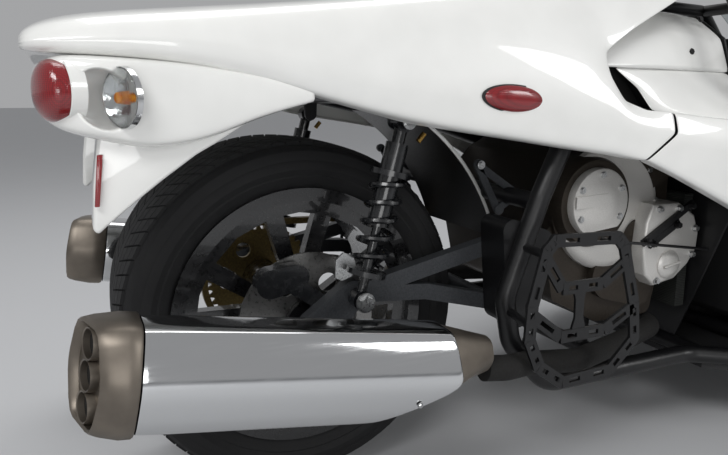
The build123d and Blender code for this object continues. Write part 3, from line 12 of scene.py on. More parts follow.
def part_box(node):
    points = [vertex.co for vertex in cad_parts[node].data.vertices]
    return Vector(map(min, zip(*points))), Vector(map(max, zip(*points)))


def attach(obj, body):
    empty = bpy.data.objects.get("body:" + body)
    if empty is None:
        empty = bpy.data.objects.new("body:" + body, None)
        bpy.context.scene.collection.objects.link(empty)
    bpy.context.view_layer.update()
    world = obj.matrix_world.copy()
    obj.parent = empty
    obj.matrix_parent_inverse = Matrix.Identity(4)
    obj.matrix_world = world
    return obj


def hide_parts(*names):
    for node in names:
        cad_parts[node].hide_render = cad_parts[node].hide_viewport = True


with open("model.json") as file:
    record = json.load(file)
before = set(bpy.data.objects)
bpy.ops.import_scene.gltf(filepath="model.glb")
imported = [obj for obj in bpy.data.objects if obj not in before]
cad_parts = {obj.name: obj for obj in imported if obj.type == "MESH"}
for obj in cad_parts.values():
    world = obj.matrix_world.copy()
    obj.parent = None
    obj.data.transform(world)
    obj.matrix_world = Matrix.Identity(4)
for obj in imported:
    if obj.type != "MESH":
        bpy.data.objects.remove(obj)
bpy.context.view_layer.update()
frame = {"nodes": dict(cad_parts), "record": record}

bl_info = {
    "name": "Three-wheeled sports car",
    "version": (1, 0, 0),
    "blender": (4, 5, 0),
    "location": "View3D > Sidebar > Three-wheeler",
    "description": "Builds the panels, wheels and running gear of an open three-wheeled sports car",
    "category": "Add Mesh",
}


def middle_of(node):
    """Centre of a node's box."""
    low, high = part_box(node)
    return (low + high) / 2


REAR_HUB = middle_of("rear_tyre")
FRONT_HUB = middle_of("front_tyre_right")


def from_rear(x, y, z):
    """Point in metres from millimetres, with y measured forward from the rear axle."""
    return Vector((x / 1000, REAR_HUB.y + y / 1000, z / 1000))


def from_front(x, y, z):
    """Point in metres from millimetres, with y measured forward from the front axle."""
    return Vector((x / 1000, FRONT_HUB.y + y / 1000, z / 1000))


def from_origin(x, y, z):
    """Point in metres from millimetres, measured from the frame's origin."""
    return Vector((x, y, z)) / 1000


def on_side(side, place, origin=from_rear):
    """Point of a place given for the right half, or its mirror image on the left."""
    x, y, z = place
    return origin(side * x, y, z)


def side_view(x, outline):
    """Points of a side-view outline of (y, z) pairs that lies at one x."""
    return [from_rear(x, y, z) for y, z in outline]


def rows_across(rows, origin=from_rear):
    """Points of rows that stand across the car, each a y with its (x, z) pairs."""
    return [[origin(x, y, z) for x, z in pairs] for y, *pairs in rows]


def rows_on_side(side, rows):
    """Points of rows of places that are given for the right half."""
    return [[on_side(side, place) for place in row] for row in rows]


# In the tables below, places are in millimetres. Profiles, radii, widths and depths are in metres.
SIDES = ((1, "right"), (-1, "left"))
WELD = 1e-5  # Vertices nearer than this are one
PANEL_WALL = 0.004


# Mesh helpers


def sweep_rows(bm, rows, line=None, closed=False):
    """Extrudes a line of edges through rows of places; gives the grid of its vertices."""
    rows = list(rows)
    if line is None:
        line = [bm.verts.new(place) for place in rows.pop(0)]
        edges = [bm.edges.new(pair) for pair in zip(line, line[1:] + (line[:1] if closed else []))]
    else:
        edges = [bm.edges.get(pair) for pair in zip(line, line[1:])]
    grid = [line]
    for row in rows:
        made = bmesh.ops.extrude_edge_only(bm, edges=edges)["geom"]
        fresh = {item for item in made if isinstance(item, bmesh.types.BMVert)}
        edges = [item for item in made if isinstance(item, bmesh.types.BMEdge) and set(item.verts) <= fresh]
        by_place = {vert.co.to_tuple(): vert for vert in fresh}
        line = [by_place[vert.co.to_tuple()] for vert in grid[-1]]
        for vert, place in zip(line, row):
            vert.co = place
        grid.append(line)
    return grid


def crease_line(bm, line, weight):
    """Sharpens the edges along a line of vertices for the subdivision."""
    layer = bm.edges.layers.float.get("crease_edge") or bm.edges.layers.float.new("crease_edge")
    for pair in zip(line, line[1:]):
        edge = bm.edges.get(pair)
        if edge:
            edge[layer] = weight


def mirror_across(bm):
    """Adds the left half to a right half."""
    geom = bm.verts[:] + bm.edges[:] + bm.faces[:]
    bmesh.ops.mirror(bm, geom=geom, matrix=Matrix.Identity(4), merge_dist=1e-4, axis="X")


def spin_profile(bm, points, centre, axis, across, steps=48):
    """Turns a profile of (along the axis, radius) points into a closed ring about an axis."""
    axis, across = Vector(axis).normalized(), Vector(across).normalized()
    line = [bm.verts.new(centre + axis * along + across * radius) for along, radius in points]
    edges = [bm.edges.new(pair) for pair in zip(line, line[1:])]
    bmesh.ops.spin(
        bm, geom=line + edges, cent=centre, axis=axis, angle=2 * pi, steps=steps, use_merge=True
    )


def plate_from_outline(bm, outline, thickness, push):
    """Face through the outline's places, thickened by a push."""
    face = bm.faces.new([bm.verts.new(place) for place in outline])
    made = bmesh.ops.extrude_face_region(bm, geom=[face])["geom"]
    verts = [item for item in made if isinstance(item, bmesh.types.BMVert)]
    bmesh.ops.translate(bm, verts=verts, vec=Vector(push).normalized() * thickness)


def round_edges(bm, edges, width, segments=2):
    """Rounds edges by a width."""
    bmesh.ops.bevel(
        bm, geom=edges, offset=width, offset_type="OFFSET", segments=segments, profile=0.5,
        affect="EDGES", material=-1, clamp_overlap=True,
    )


def sharp_edges(bm, degrees=30):
    """Edges where two faces meet at more than an angle."""
    return [e for e in bm.edges if len(e.link_faces) == 2 and e.calc_face_angle(0) > radians(degrees)]


def rod_between(bm, start, end, radius, segments=12, taper=1.0):
    """Round or many-sided rod from one place to another."""
    span = end - start
    turn = span.to_track_quat("Z", "Y").to_matrix().to_4x4()
    bmesh.ops.create_cone(
        bm, cap_ends=True, segments=segments, radius1=radius, radius2=radius * taper, depth=span.length,
        matrix=Matrix.Translation((start + end) / 2) @ turn,
    )


def flat_bar(bm, start, end, out, half_width, thickness):
    """Flat bar between two places, thickened away from its outer face."""
    wide = (end - start).normalized().cross(out) * half_width
    plate_from_outline(bm, [start + wide, end + wide, end - wide, start - wide], thickness, -out)


def bolt_head(bm, place, out, width, height):
    """Flanged hexagon head standing on a surface."""
    out = Vector(out).normalized()
    rod_between(bm, place, place + out * height * 0.3, width * 0.68, 16)
    rod_between(bm, place + out * height * 0.3, place + out * height, width * 0.55, 6, 0.94)


def add_piece(
    name, bm, finish, replaces=(), wall=0.0, levels=0, sharp=35, recalc=True, body="chassis"
):
    """Makes a finished object of a mesh, parents it to the body it rides on and hides the CAD parts it stands
    for.
    """
    bmesh.ops.remove_doubles(bm, verts=bm.verts, dist=WELD)
    if recalc:
        bmesh.ops.recalc_face_normals(bm, faces=bm.faces)
    for face in bm.faces:
        face.smooth = True
    mesh = bpy.data.meshes.new(name)
    bm.to_mesh(mesh)
    bm.free()
    mesh.materials.append(finish_for(finish))
    piece = bpy.data.objects.new(name, mesh)
    bpy.context.scene.collection.objects.link(piece)
    if not levels:
        mesh.set_sharp_from_angle(angle=radians(sharp))
    if wall:
        shell = piece.modifiers.new("wall", "SOLIDIFY")
        shell.thickness, shell.offset, shell.use_even_offset = wall, -1.0, True
        shell.edge_crease_rim = 0.5
    if levels:
        smooth = piece.modifiers.new("smooth", "SUBSURF")
        smooth.levels = smooth.render_levels = levels
    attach(piece, body)
    for node in replaces:
        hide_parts(node)
    return piece


def add_panel(name, bm, replaces=()):
    """Makes a white body panel of a skin, with its wall and its curves."""
    return add_piece(name, bm, "gelcoat_white", replaces, PANEL_WALL, 3)


# Finishes

def linear(hex_colour):
    """Linear colour of an sRGB hex value."""
    levels = [int(hex_colour[i:i + 2], 16) / 255 for i in (1, 3, 5)]
    return (*[v / 12.92 if v <= 0.04045 else ((v + 0.055) / 1.055) ** 2.4 for v in levels], 1.0)


def add_node(tree, kind, values=None, links=None, **settings):
    """Adds a shader node with its settings, its socket values and its links from other sockets."""
    node = tree.nodes.new(kind)
    for name, value in settings.items():
        setattr(node, name, value)
    for name, value in (values or {}).items():
        node.inputs[name].default_value = value
    for name, source in (links or {}).items():
        tree.links.new(source, node.inputs[name])
    return node


def start_finish(name, colour, roughness, **values):
    """New material with its constants on the shader's own sockets; gives it, its tree and its shader."""
    finish = bpy.data.materials.new(name)
    finish.use_nodes = True
    tree = finish.node_tree
    shader = tree.nodes["Principled BSDF"]
    shader.inputs["Base Color"].default_value = linear(colour)
    shader.inputs["Roughness"].default_value = roughness
    for key, value in values.items():
        shader.inputs[key.replace("_", " ")].default_value = value
    return finish, tree, shader


def add_texture(tree, kind, values, output, stretch=None, **settings):
    """Adds a texture that lies in the object's own coordinates, and gives one of its outputs."""
    coords = add_node(tree, "ShaderNodeTexCoord").outputs["Object"]
    if stretch:
        coords = add_node(tree, "ShaderNodeMapping", {"Scale": stretch}, {"Vector": coords}).outputs["Vector"]
    return add_node(tree, kind, values, {"Vector": coords}, **settings).outputs[output]


def drive_roughness(tree, shader, value, *spans):
    """Drives the roughness by a value: the value's low and high, then the roughness at each."""
    values = dict(zip(("From Min", "From Max", "To Min", "To Max"), spans))
    spread = add_node(tree, "ShaderNodeMapRange", values, {"Value": value})
    tree.links.new(spread.outputs["Result"], shader.inputs["Roughness"])


def drive_colour(tree, shader, value, colours, positions=(0.0, 1.0)):
    """Drives the base colour by a value, from one sRGB hex colour to another."""
    ramp = add_node(tree, "ShaderNodeValToRGB", None, {"Fac": value})
    for element, colour, position in zip(ramp.color_ramp.elements, colours, positions):
        element.position, element.color = position, linear(colour)
    tree.links.new(ramp.outputs["Color"], shader.inputs["Base Color"])


def drive_height(tree, shader, value, strength, distance):
    """Raises the surface by a value."""
    bump = add_node(tree, "ShaderNodeBump", {"Strength": strength, "Distance": distance}, {"Height": value})
    tree.links.new(bump.outputs["Normal"], shader.inputs["Normal"])


def add_grain(tree, shader, grain_mm, depth_mm, rough=None, colours=None, detail=3.0):
    """Grain of one size in the surface's height, its roughness and, where two are given, its colour."""
    noise = add_texture(tree, "ShaderNodeTexNoise", {"Scale": 1000 / grain_mm, "Detail": detail}, "Fac")
    if rough:
        drive_roughness(tree, shader, noise, 0.3, 0.7, *rough)
    if colours:
        drive_colour(tree, shader, noise, colours, (0.32, 0.68))
    if depth_mm:
        drive_height(tree, shader, noise, 1.0, depth_mm / 1000)


PLAIN_FINISHES = {
    # Material, colour, roughness and the shader's other sockets, then the grain in mm, its depth in mm,
    # its roughness and, where they are given, its colours and its detail
    # Mild-steel tube and plate, powder coated satin black in an oven. The powder flows into an orange peel
    # of about 2 mm, drawn at 4 mm so that it shows.
    "powder_black": (
        "powder_coated_steel_black", "#0B0B0C", 0.36, {},
        4.0, 0.04, (0.32, 0.42), ("#0A0A0B", "#0F0F11"),
    ),
    # Laser-cut and welded steel arms, powder coated dark grey. As the black tubes, with a coarser fleck
    # from the grey powder's metal flake.
    "powder_grey": (
        "powder_coated_steel_grey", "#3C3E41", 0.42, dict(Metallic=0.35),
        3.0, 0.05, (0.36, 0.5), ("#36383B", "#45474A"),
    ),
    # Moulded tyre rubber with carbon black. A faint grey bloom lies in cloudy patches over fine moulding
    # grain.
    "tyre_rubber": (
        "moulded_tyre_rubber", "#161617", 0.8, dict(Specular_IOR_Level=0.35),
        14.0, 0.15, (0.66, 0.86), ("#131314", "#1E1E1F"), 6.0,
    ),
    # Cast aluminium wheel in gloss black lacquer. A hard clear lacquer over a nearly smooth casting.
    "rim_lacquer": (
        "lacquered_cast_wheel_black", "#0C0C0D", 0.3, dict(Coat_Weight=1.0, Coat_Roughness=0.05),
        9.0, 0.04, (0.24, 0.34), ("#0A0A0B", "#101012"),
    ),
    # Bead-blasted stainless steel, browned by exhaust heat. Heat oxide shifts from straw to brown in soft
    # clouds over a fine blasted grain.
    "heat_tinted_steel": (
        "heat_tinted_blasted_steel", "#756D64", 0.42, dict(Metallic=0.85),
        70.0, 0.01, (0.36, 0.46), ("#6A635B", "#827A70"), 4.0,
    ),
    # Die-cast aluminium cover, satin silver lacquer. A finer skin than the crankcase, under thin lacquer.
    "cover_alloy": (
        "satin_lacquered_casting", "#CFCDC9", 0.36, dict(Metallic=0.45),
        2.0, 0.05, (0.32, 0.44), ("#C8C6C2", "#D6D4D0"),
    ),
    # Engine castings in dark bronze-grey enamel. Thick enamel softens the casting and takes road film in
    # its hollows.
    "dark_cast_alloy": (
        "enamelled_casting_dark", "#3A342D", 0.45, dict(Metallic=0.6),
        5.0, 0.05, (0.38, 0.5), ("#352F29", "#3F3932"), 4.0,
    ),
    # Steel brake disc face, ground across. The pads wear a ground sheen with slight blotches.
    "ground_steel": (
        "ground_disc_steel", "#8B8A88", 0.3, dict(Metallic=1.0),
        6.0, 0.01, (0.26, 0.34), ("#868583", "#908F8D"),
    ),
    # Oiled chain and sprocket steel with a yellow passivate. Oil and road film darken the plates unevenly.
    "chain_steel": (
        "passivated_chain_steel", "#6B5C3A", 0.36, dict(Metallic=0.9),
        5.0, 0.02, (0.32, 0.42), ("#5E5136", "#7A6940"),
    ),
    # Spring steel and damper bodies, epoxy coated gloss black. Dipped epoxy is smooth, with only a slow
    # ripple.
    "spring_black": (
        "epoxy_coated_spring_steel", "#101113", 0.25, dict(Coat_Weight=0.4),
        12.0, 0.04, (0.2, 0.3), ("#0E0F11", "#161719"),
    ),
    # Bolts and pins, bright zinc plated. Plating keeps a light mottling from the bath.
    "plated_steel": (
        "zinc_plated_steel", "#B9BABA", 0.3, dict(Metallic=1.0),
        3.0, 0.02, (0.24, 0.38), ("#ADAEAE", "#C6C7C7"),
    ),
    # Turned brass valve. Turning leaves a soft ringed sheen.
    "brass": (
        "turned_brass", "#A88646", 0.3, dict(Metallic=1.0),
        3.0, 0.02, (0.24, 0.36), ("#9C7B3E", "#B59252"),
    ),
    # Injection-moulded ABS with a spark-eroded texture. The mould's texture is about 1 mm across, drawn at
    # 3 mm.
    "abs_black": (
        "textured_black_abs", "#1A1A1B", 0.6, {},
        3.0, 0.12, (0.52, 0.68), ("#161617", "#202021"),
    ),
    # Moulded clear polycarbonate lens.
    "clear_lens": (
        "moulded_clear_polycarbonate", "#F2F4F4", 0.04, dict(Transmission_Weight=1.0, IOR=1.3),
        8.0, 0.02, (0.02, 0.06),
    ),
    # Moulded reflector bowl, vacuum coated with aluminium. The coating mirrors the mould's small facets, so
    # it glitters softly.
    "lamp_reflector": (
        "metallised_reflector", "#D9DADB", 0.12, dict(Metallic=1.0),
        6.0, 0.4, (0.08, 0.2),
    ),
    # Glass bulb, amber lacquered. The lacquer pools a little, so its colour drifts from yellow to orange.
    "amber_bulb": (
        "amber_bulb_glass", "#E07A1C", 0.1, dict(Coat_Weight=1.0),
        9.0, 0.0, (0.08, 0.14), ("#D9661A", "#F0A030"),
    ),
    # Sooted steel of the exhaust pipes and the silencers' outlets. The gauges' faces are as dull and take it
    # too, and so does the sheet inside the intake, which is painted shade for the opening's depth.
    "dull_black_soot_and_shade": (
        "dull_black_soot_and_painted_shade", "#0A0908", 0.9, {},
        4.0, 0.1, (0.8, 0.95), ("#070706", "#12100E"),
    ),
    # Bent polycarbonate screen with a light smoke tint. Wiping leaves a faint haze in wide patches.
    "screen_sheet": (
        "bent_polycarbonate_sheet", "#C9CFD0", 0.04, dict(Transmission_Weight=1.0, IOR=1.2),
        90.0, 0.0, (0.02, 0.08),
    ),
}


def plain_finish(material, colour, roughness, sockets, *grain):
    """Material of one base and one grain."""
    finish, tree, shader = start_finish(material, colour, roughness, **sockets)
    add_grain(tree, shader, *grain)
    return finish


def gelcoat_white():
    """White automotive lacquer over glass-fibre panels, rubbed down and clear-coated."""
    # Lacquer lies on the laid-up fibre in long shallow waves, which the clear coat shows in its reflections.
    paint = bpy.context.scene.three_wheeler_finishes
    finish, tree, shader = start_finish(
        "lacquered_glass_fibre", paint.panel_colour, 0.34, Coat_Weight=1.0, Coat_Roughness=0.04, Coat_IOR=1.5
    )
    add_grain(tree, shader, 60.0, 0.03, (0.28, 0.34), (paint.shade_colour, paint.light_colour), 2.0)
    return finish


def polished_stainless():
    """Stainless sheet, rolled and mirror polished."""
    # The mop leaves drawn-out hairlines along the sleeve, seen as a light streaking of the mirror.
    finish, tree, shader = start_finish("polished_stainless_sheet", "#D4D5D6", 0.08, Metallic=1.0)
    values = {"Scale": 1.0, "Detail": 4.0}
    hairs = add_texture(tree, "ShaderNodeTexNoise", values, "Fac", (220.0, 6.0, 220.0))
    drive_roughness(tree, shader, hairs, 0.3, 0.75, 0.05, 0.15)
    drive_height(tree, shader, hairs, 0.4, 0.00002)
    return finish


def seat_vinyl():
    """Foam-backed vinyl, embossed with a leather grain."""
    # Pebbles of about 2 mm are drawn at 5 mm; the creases between them are duller.
    finish, tree, shader = start_finish(
        "embossed_seat_vinyl", "#1B1B1D", 0.5, Sheen_Weight=0.1, Sheen_Roughness=0.4
    )
    creases = add_texture(
        tree, "ShaderNodeTexVoronoi", {"Scale": 200.0}, "Distance", feature="DISTANCE_TO_EDGE"
    )
    pebbles = add_node(
        tree, "ShaderNodeMapRange", {"From Max": 0.12}, {"Value": creases}
    ).outputs["Result"]
    drive_roughness(tree, shader, pebbles, 0.0, 1.0, 0.68, 0.44)
    drive_height(tree, shader, pebbles, 0.7, 0.0005)
    return finish


def red_acrylic():
    """Moulded red acrylic lens."""
    # Deep red in the thickness, with the moulded optics behind it as a fine cross grain.
    finish, tree, shader = start_finish(
        "moulded_red_acrylic", "#7E0A10", 0.12, Coat_Weight=1.0, Coat_Roughness=0.02
    )
    values = {"Scale": 420.0, "Randomness": 0.0}
    optics = add_texture(tree, "ShaderNodeTexVoronoi", values, "Distance")
    drive_colour(tree, shader, optics, ("#9A1018", "#46030A"))
    drive_height(tree, shader, optics, 0.5, 0.0006)
    return finish


def radiator_core():
    """Brazed aluminium radiator, sprayed matt black."""
    # The fin rows show as fine level lines, 4 mm apart, that break the light; the colour paints them as lines
    # of painted shade between lines of painted highlight.
    finish, tree, shader = start_finish("sprayed_radiator_core", "#161715", 0.55)
    values = {"Scale": 80.0, "Distortion": 0.3}
    fin_light_lines = add_texture(tree, "ShaderNodeTexWave", values, "Fac", bands_direction="Z")
    # Painted shade and highlight of the fin rows, from dark in the gaps to lighter on the edges
    drive_colour(tree, shader, fin_light_lines, ("#0C0D0C", "#2A2C29"))
    drive_height(tree, shader, fin_light_lines, 0.8, 0.001)
    return finish


FINISH_OF_SLOT = {
    "body_white": "gelcoat_white",
    "frame_black": "powder_black",
    "arm_grey": "powder_grey",
    "tyre_rubber": "tyre_rubber",
    "rim_black": "rim_lacquer",
    "steel": "ground_steel",
    "caliper_black": "spring_black",
    "chrome": "polished_stainless",
    "heat_tint": "heat_tinted_steel",
    "engine_alloy": "dark_cast_alloy",
    "cover_silver": "cover_alloy",
    "shock_black": "spring_black",
    "seat_vinyl": "seat_vinyl",
    "dash_black": "abs_black",
    "red_lens": "red_acrylic",
    "clear_lens": "clear_lens",
    "screen": "screen_sheet",
}
FINISH_OF_NODE = {
    # Nodes whose finish differs from the rest of their slot
    # The wheel guard is white gelcoat; it is painted black here, as painted shade for its inner face in
    # shadow
    "wheel_guard": "powder_black",
    "exhaust_pipes": "dull_black_soot_and_shade",
    "rear_sprocket": "chain_steel",
    "drive_chain": "chain_steel",
    "radiator": "radiator_core",
    "steering_wheel": "seat_vinyl",
}
SPECIAL_FINISHES = {
    "gelcoat_white": gelcoat_white,
    "polished_stainless": polished_stainless,
    "seat_vinyl": seat_vinyl,
    "red_acrylic": red_acrylic,
    "radiator_core": radiator_core,
}
finishes = {}


def finish_for(key):
    """The one material of a finish, made when it is first asked for."""
    if key not in finishes:
        special = SPECIAL_FINISHES.get(key)
        finishes[key] = special() if special else plain_finish(*PLAIN_FINISHES[key])
    return finishes[key]


class FinishSettings(PropertyGroup):
    """Colours that a user would change."""

    panel_colour: StringProperty(name="Panels", description="The panels' base, sRGB hex", default="#E8E8E5")
    shade_colour: StringProperty(name="Shade", description="Lacquer's hollows, sRGB hex", default="#E5E5E2")
    light_colour: StringProperty(name="Light", description="Lacquer's crests, sRGB hex", default="#E9E9E6")


class TyreSettings(PropertyGroup):
    """Tread sizes of all three tyres."""

    groove_depth: FloatProperty(
        name="Groove depth", description="Depth of the tread's grooves", default=0.0055, min=0.001,
        unit="LENGTH",
    )
    tread_pitches: IntProperty(name="Pitches", description="Tread blocks around the tyre", default=76, min=24)


class StageSettings(PropertyGroup):
    """Floor and lamps."""

    floor_colour: StringProperty(name="Floor", description="The studio floor, sRGB hex", default="#C4C5C7")
    key_watts: FloatProperty(
        name="Key lamp", description="Power of the key lamp", default=95.0, min=0.0, unit="POWER"
    )
    room_level: FloatProperty(name="Room", description="Strength of the room's light", default=0.42, min=0.0)


class CAR_OT_frame_finishes(Operator):
    """Give every part of the frame the finish of its material slot"""

    bl_idname = "three_wheeler.frame_finishes"
    bl_label = "Frame finishes"

    def execute(self, context):
        for part in frame["record"]["subparts"]:
            finish = finish_for(FINISH_OF_NODE.get(part["node"], FINISH_OF_SLOT[part["material_slot"]]))
            for slot in frame["nodes"][part["node"]].material_slots:
                slot.material = finish
        return {"FINISHED"}


COWL_ROWS = [
    # y from the rear axle, then x and z of the centre, deck, valley, ridge, side, crease, belly, edge and lip
    (-436, (0, 822), (150, 820), (228, 818), (258, 816), (268, 813),
     (272, 810), (270, 808), (262, 807), (196, 808)),
    (-425, (0, 848), (150, 844), (234, 838), (274, 830), (291, 821),
     (299, 812), (297, 804), (286, 799), (206, 802)),
    (-370, (0, 868), (150, 864), (240, 857), (288, 846), (306, 830),
     (312, 815), (310, 801), (296, 796), (214, 800)),
    (-200, (0, 884), (150, 880), (240, 873), (290, 861), (314, 842),
     (322, 822), (322, 802), (310, 789), (280, 788)),
    (-34, (0, 900), (150, 896), (240, 889), (292, 877), (320, 845),
     (331, 792), (333, 770), (324, 744), (296, 740)),
    (120, (0, 915), (150, 912), (240, 908), (298, 894), (328, 850),
     (341, 766), (343, 735), (334, 702), (308, 696)),
    (300, (0, 925), (150, 924), (240, 925), (302, 916), (336, 862),
     (353, 778), (359, 735), (350, 674), (326, 668)),
    (430, (0, 930), (150, 930), (240, 938), (306, 938), (344, 862),
     (368, 782), (380, 728), (374, 652), (350, 646)),
    (497, (0, 932), (150, 932), (240, 947), (308, 950), (352, 814),
     (371, 770), (394, 722), (389, 643), (366, 637)),
]
COWL_UPPER = [
    # The branch that climbs to the roll hoop: y, then the centre, deck, valley, ridge and side
    (560, (0, 934), (150, 934), (240, 958), (306, 968), (346, 854)),
    (640, (0, 936), (150, 936), (240, 972), (302, 988), (334, 893)),
    (720, (0, 938), (150, 940), (240, 986), (298, 1008), (322, 932)),
    (776, (0, 940), (150, 950), (240, 1000), (294, 1024), (312, 984)),
]
COWL_LOWER = [
    # The branch that meets the sill at a slanted seam: places of the crease, belly, edge and lip
    ((377, 521, 734), (402, 522, 706), (396, 518, 637), (372, 516, 632)),
    ((390, 562, 717), (408, 572, 688), (400, 538, 633), (378, 536, 629)),
    ((401, 617, 713), (413, 617, 676), (405, 556, 629), (384, 554, 626)),
]
TAIL_TIP_Y = -430  # What lies behind it is the open tip, which is closed last


class CAR_OT_tail_cowl(Operator):
    """Shape the tail cowl, which parts round a notch into a branch to the hoop and one to the sill"""

    bl_idname = "three_wheeler.tail_cowl"
    bl_label = "Tail cowl"

    def execute(self, context):
        bm = bmesh.new()
        grid = sweep_rows(bm, rows_across(COWL_ROWS))
        upper = sweep_rows(bm, rows_across(COWL_UPPER), grid[-1][:5])
        lower = sweep_rows(bm, rows_on_side(1, COWL_LOWER), grid[-1][5:])
        # The underside of the tail's overhang, from its lip to the middle
        lip = [row[8] for row in grid[:3]]
        sweep_rows(bm, [[Vector((0.0, vert.co.y, vert.co.z + 0.002)) for vert in lip]], lip)
        crease_line(bm, [row[3] for row in grid] + [row[3] for row in upper[1:]], 0.25)
        crease_line(bm, [row[5] for row in grid] + [row[0] for row in lower[1:]], 0.45)
        crease_line(bm, [row[7] for row in grid] + [row[2] for row in lower[1:]], 0.35)
        mirror_across(bm)
        tip_y = from_rear(0, TAIL_TIP_Y, 0).y
        tip = [e for e in bm.edges if e.is_boundary and all(v.co.y < tip_y for v in e.verts)]
        bmesh.ops.edgenet_fill(bm, edges=tip)
        add_panel("tail_cowl_panel", bm, ["tail_cowl"])
        return {"FINISHED"}


FAIRING_ROWS = [
    # y, then x and z of the centre, inner slope, hump, hump's outside, shoulder, crease and edge
    (490, (0, 846), (100, 850), (210, 856), (268, 852), (314, 826), (331, 795)),
    (570, (0, 856), (100, 866), (205, 882), (262, 876), (316, 844), (331, 793)),
    (650, (0, 862), (95, 880), (195, 908), (250, 900), (312, 862), (330, 792)),
    (744, (0, 862), (90, 884), (190, 921), (240, 915), (307, 870), (328, 790)),
    (848, (0, 856), (85, 876), (180, 911), (230, 905), (300, 856), (324, 787)),
]
FAIRING_SIDE_ROWS = [
    # Places of the top, middle and foot of the panel under the fairing's lip, from the intake forward
    ((325, 534, 796), (336, 590, 757), (353, 612, 713)),
    ((324, 600, 796), (346, 640, 750), (370, 662, 706)),
    ((322, 744, 794), (360, 750, 742), (400, 756, 698)),
    ((318, 848, 791), (374, 848, 738), (432, 848, 692)),
]
INTAKE_OUTLINE = [(490, 815), (560, 806), (660, 700), (600, 690), (490, 700)]
FAIRING_SCREWS = [(316, 742, 826), (280, 800, 892)]
BULKHEAD_Y = 848
BULKHEAD_FOOT = [(395, 640), (366, 520), (250, 206)]
INTAKE_X = 300  # The outer face of the sheet of painted shade inside the intake


class CAR_OT_fairing(Operator):
    """Shape the fairing behind the seats, with its humps, sloping shoulders and the bulkhead below"""

    bl_idname = "three_wheeler.fairing"
    bl_label = "Seat fairing"

    def execute(self, context):
        bm = bmesh.new()
        grid = sweep_rows(bm, rows_across(FAIRING_ROWS))
        crease_line(bm, [row[5] for row in grid], 1.0)
        mirror_across(bm)
        add_panel("seat_fairing_panel", bm, ["bulkhead"])
        bm = bmesh.new()
        half = [from_rear(x, BULKHEAD_Y, z) for x, z in [*FAIRING_ROWS[-1][1:], *BULKHEAD_FOOT]]
        outline = half + [Vector((-place.x, place.y, place.z)) for place in reversed(half) if place.x > 0]
        plate_from_outline(bm, outline, 0.006, (0, 1, 0))
        round_edges(bm, sharp_edges(bm), 0.0015)
        add_piece("bulkhead_sheet", bm, "powder_black")

        side_panels, shade_sheets, screws = (bmesh.new() for _ in range(3))
        for side in (1, -1):
            sweep_rows(side_panels, rows_on_side(side, FAIRING_SIDE_ROWS))
            # A dark sheet inside each intake, painted shade for the depth of the opening
            plate_from_outline(shade_sheets, side_view(side * INTAKE_X, INTAKE_OUTLINE), 0.004, (-side, 0, 0))
            for place in FAIRING_SCREWS:
                bolt_head(screws, on_side(side, place), (side, 0, 0.45), 0.010, 0.004)
        add_panel("fairing_side_panels", side_panels)
        add_piece("intake_painted_shade_sheets", shade_sheets, "dull_black_soot_and_shade")
        add_piece("fairing_screws", screws, "powder_black")
        return {"FINISHED"}


SILL_ROWS = [
    # Places of the inner top, outer top, belt, outer foot and inner foot
    ((356, 619, 714), (401, 618.4, 713), (413, 618.4, 676), (405, 557.4, 629), (378, 556, 627)),
    ((368, 656, 708), (404, 656, 708), (424, 660, 664), (408, 636, 598), (382, 636, 596)),
    ((398, 756, 698), (438, 756, 696), (462, 756, 640), (440, 756, 533), (410, 756, 532)),
    ((436, 860, 692), (490, 860, 689), (518, 860, 608), (490, 860, 470), (446, 860, 470)),
    ((478, 960, 660), (520, 960, 656), (548, 960, 536), (520, 960, 352), (482, 960, 352)),
    ((490, 1130, 608), (550, 1130, 604), (578, 1130, 430), (548, 1130, 178), (490, 1130, 176)),
    ((490, 1400, 584), (560, 1400, 580), (592, 1400, 415), (562, 1400, 160), (490, 1400, 160)),
    ((490, 1690, 560), (572, 1690, 562), (600, 1690, 402), (568, 1690, 162), (490, 1690, 162)),
    ((432, 1948, 656), (470, 1948, 654), (500, 1948, 480), (470, 1948, 204), (432, 1948, 204)),
]


class CAR_OT_side_sills(Operator):
    """Shape the sills that sweep down from the cowl's seam and along the cockpit"""

    bl_idname = "three_wheeler.side_sills"
    bl_label = "Side sills"

    def execute(self, context):
        for side, name in SIDES:
            bm = bmesh.new()
            grid = sweep_rows(bm, rows_on_side(side, SILL_ROWS))
            for column, weight in ((1, 0.5), (2, 0.25), (3, 0.5)):
                crease_line(bm, [row[column] for row in grid], weight)
            node = f"side_sill_{name}"
            add_panel(f"{node}_panel", bm, [node])
        return {"FINISHED"}


POD_ROWS = [
    # y, inner x, outer x, top z, foot z
    (-421, 226, 262, 776, 728),
    (-412, 222, 288, 787, 712),
    (-396, 222, 312, 794, 700),
    (-376, 222, 324, 798, 690),
    (-296, 222, 330, 794, 670),
    (-250, 222, 329, 791, 670),
    (-193, 222, 326, 786, 679),
    (-132, 242, 323, 777, 704),
    (-80, 258, 322, 770, 719),
    (-36, 266, 321, 764, 730),
]
SCOOP_MIDDLE_Y = -336
SCOOP_DEEP, SCOOP_SHALLOW = 0.082, 0.004  # Depth of the scoop's front and rear end
GUARD_X = 300  # The splash guard's outer face
GUARD_DEPTH = 0.064
GUARD_OUTLINE = [
    (-120, 712), (-181, 675), (-212, 658), (-259, 625), (-304, 591), (-340, 562), (-352, 551),
    (-359, 558), (-354, 620), (-345, 680), (-340, 704), (-300, 704), (-200, 706),
]


def pod_ring(inner, outer, top, foot):
    """Section of the lamp pod: over the top, down the bulged side and back along the inside."""
    middle = (top + foot) / 2
    bulge = 0.40 * (top - foot)
    return [
        (inner, top), (outer - 26, top + 1), (outer - 7, top - 4), (outer, middle + bulge),
        (outer + 1, middle - bulge), (outer - 7, foot + 4), (outer - 28, foot), (inner, foot + 2),
    ]


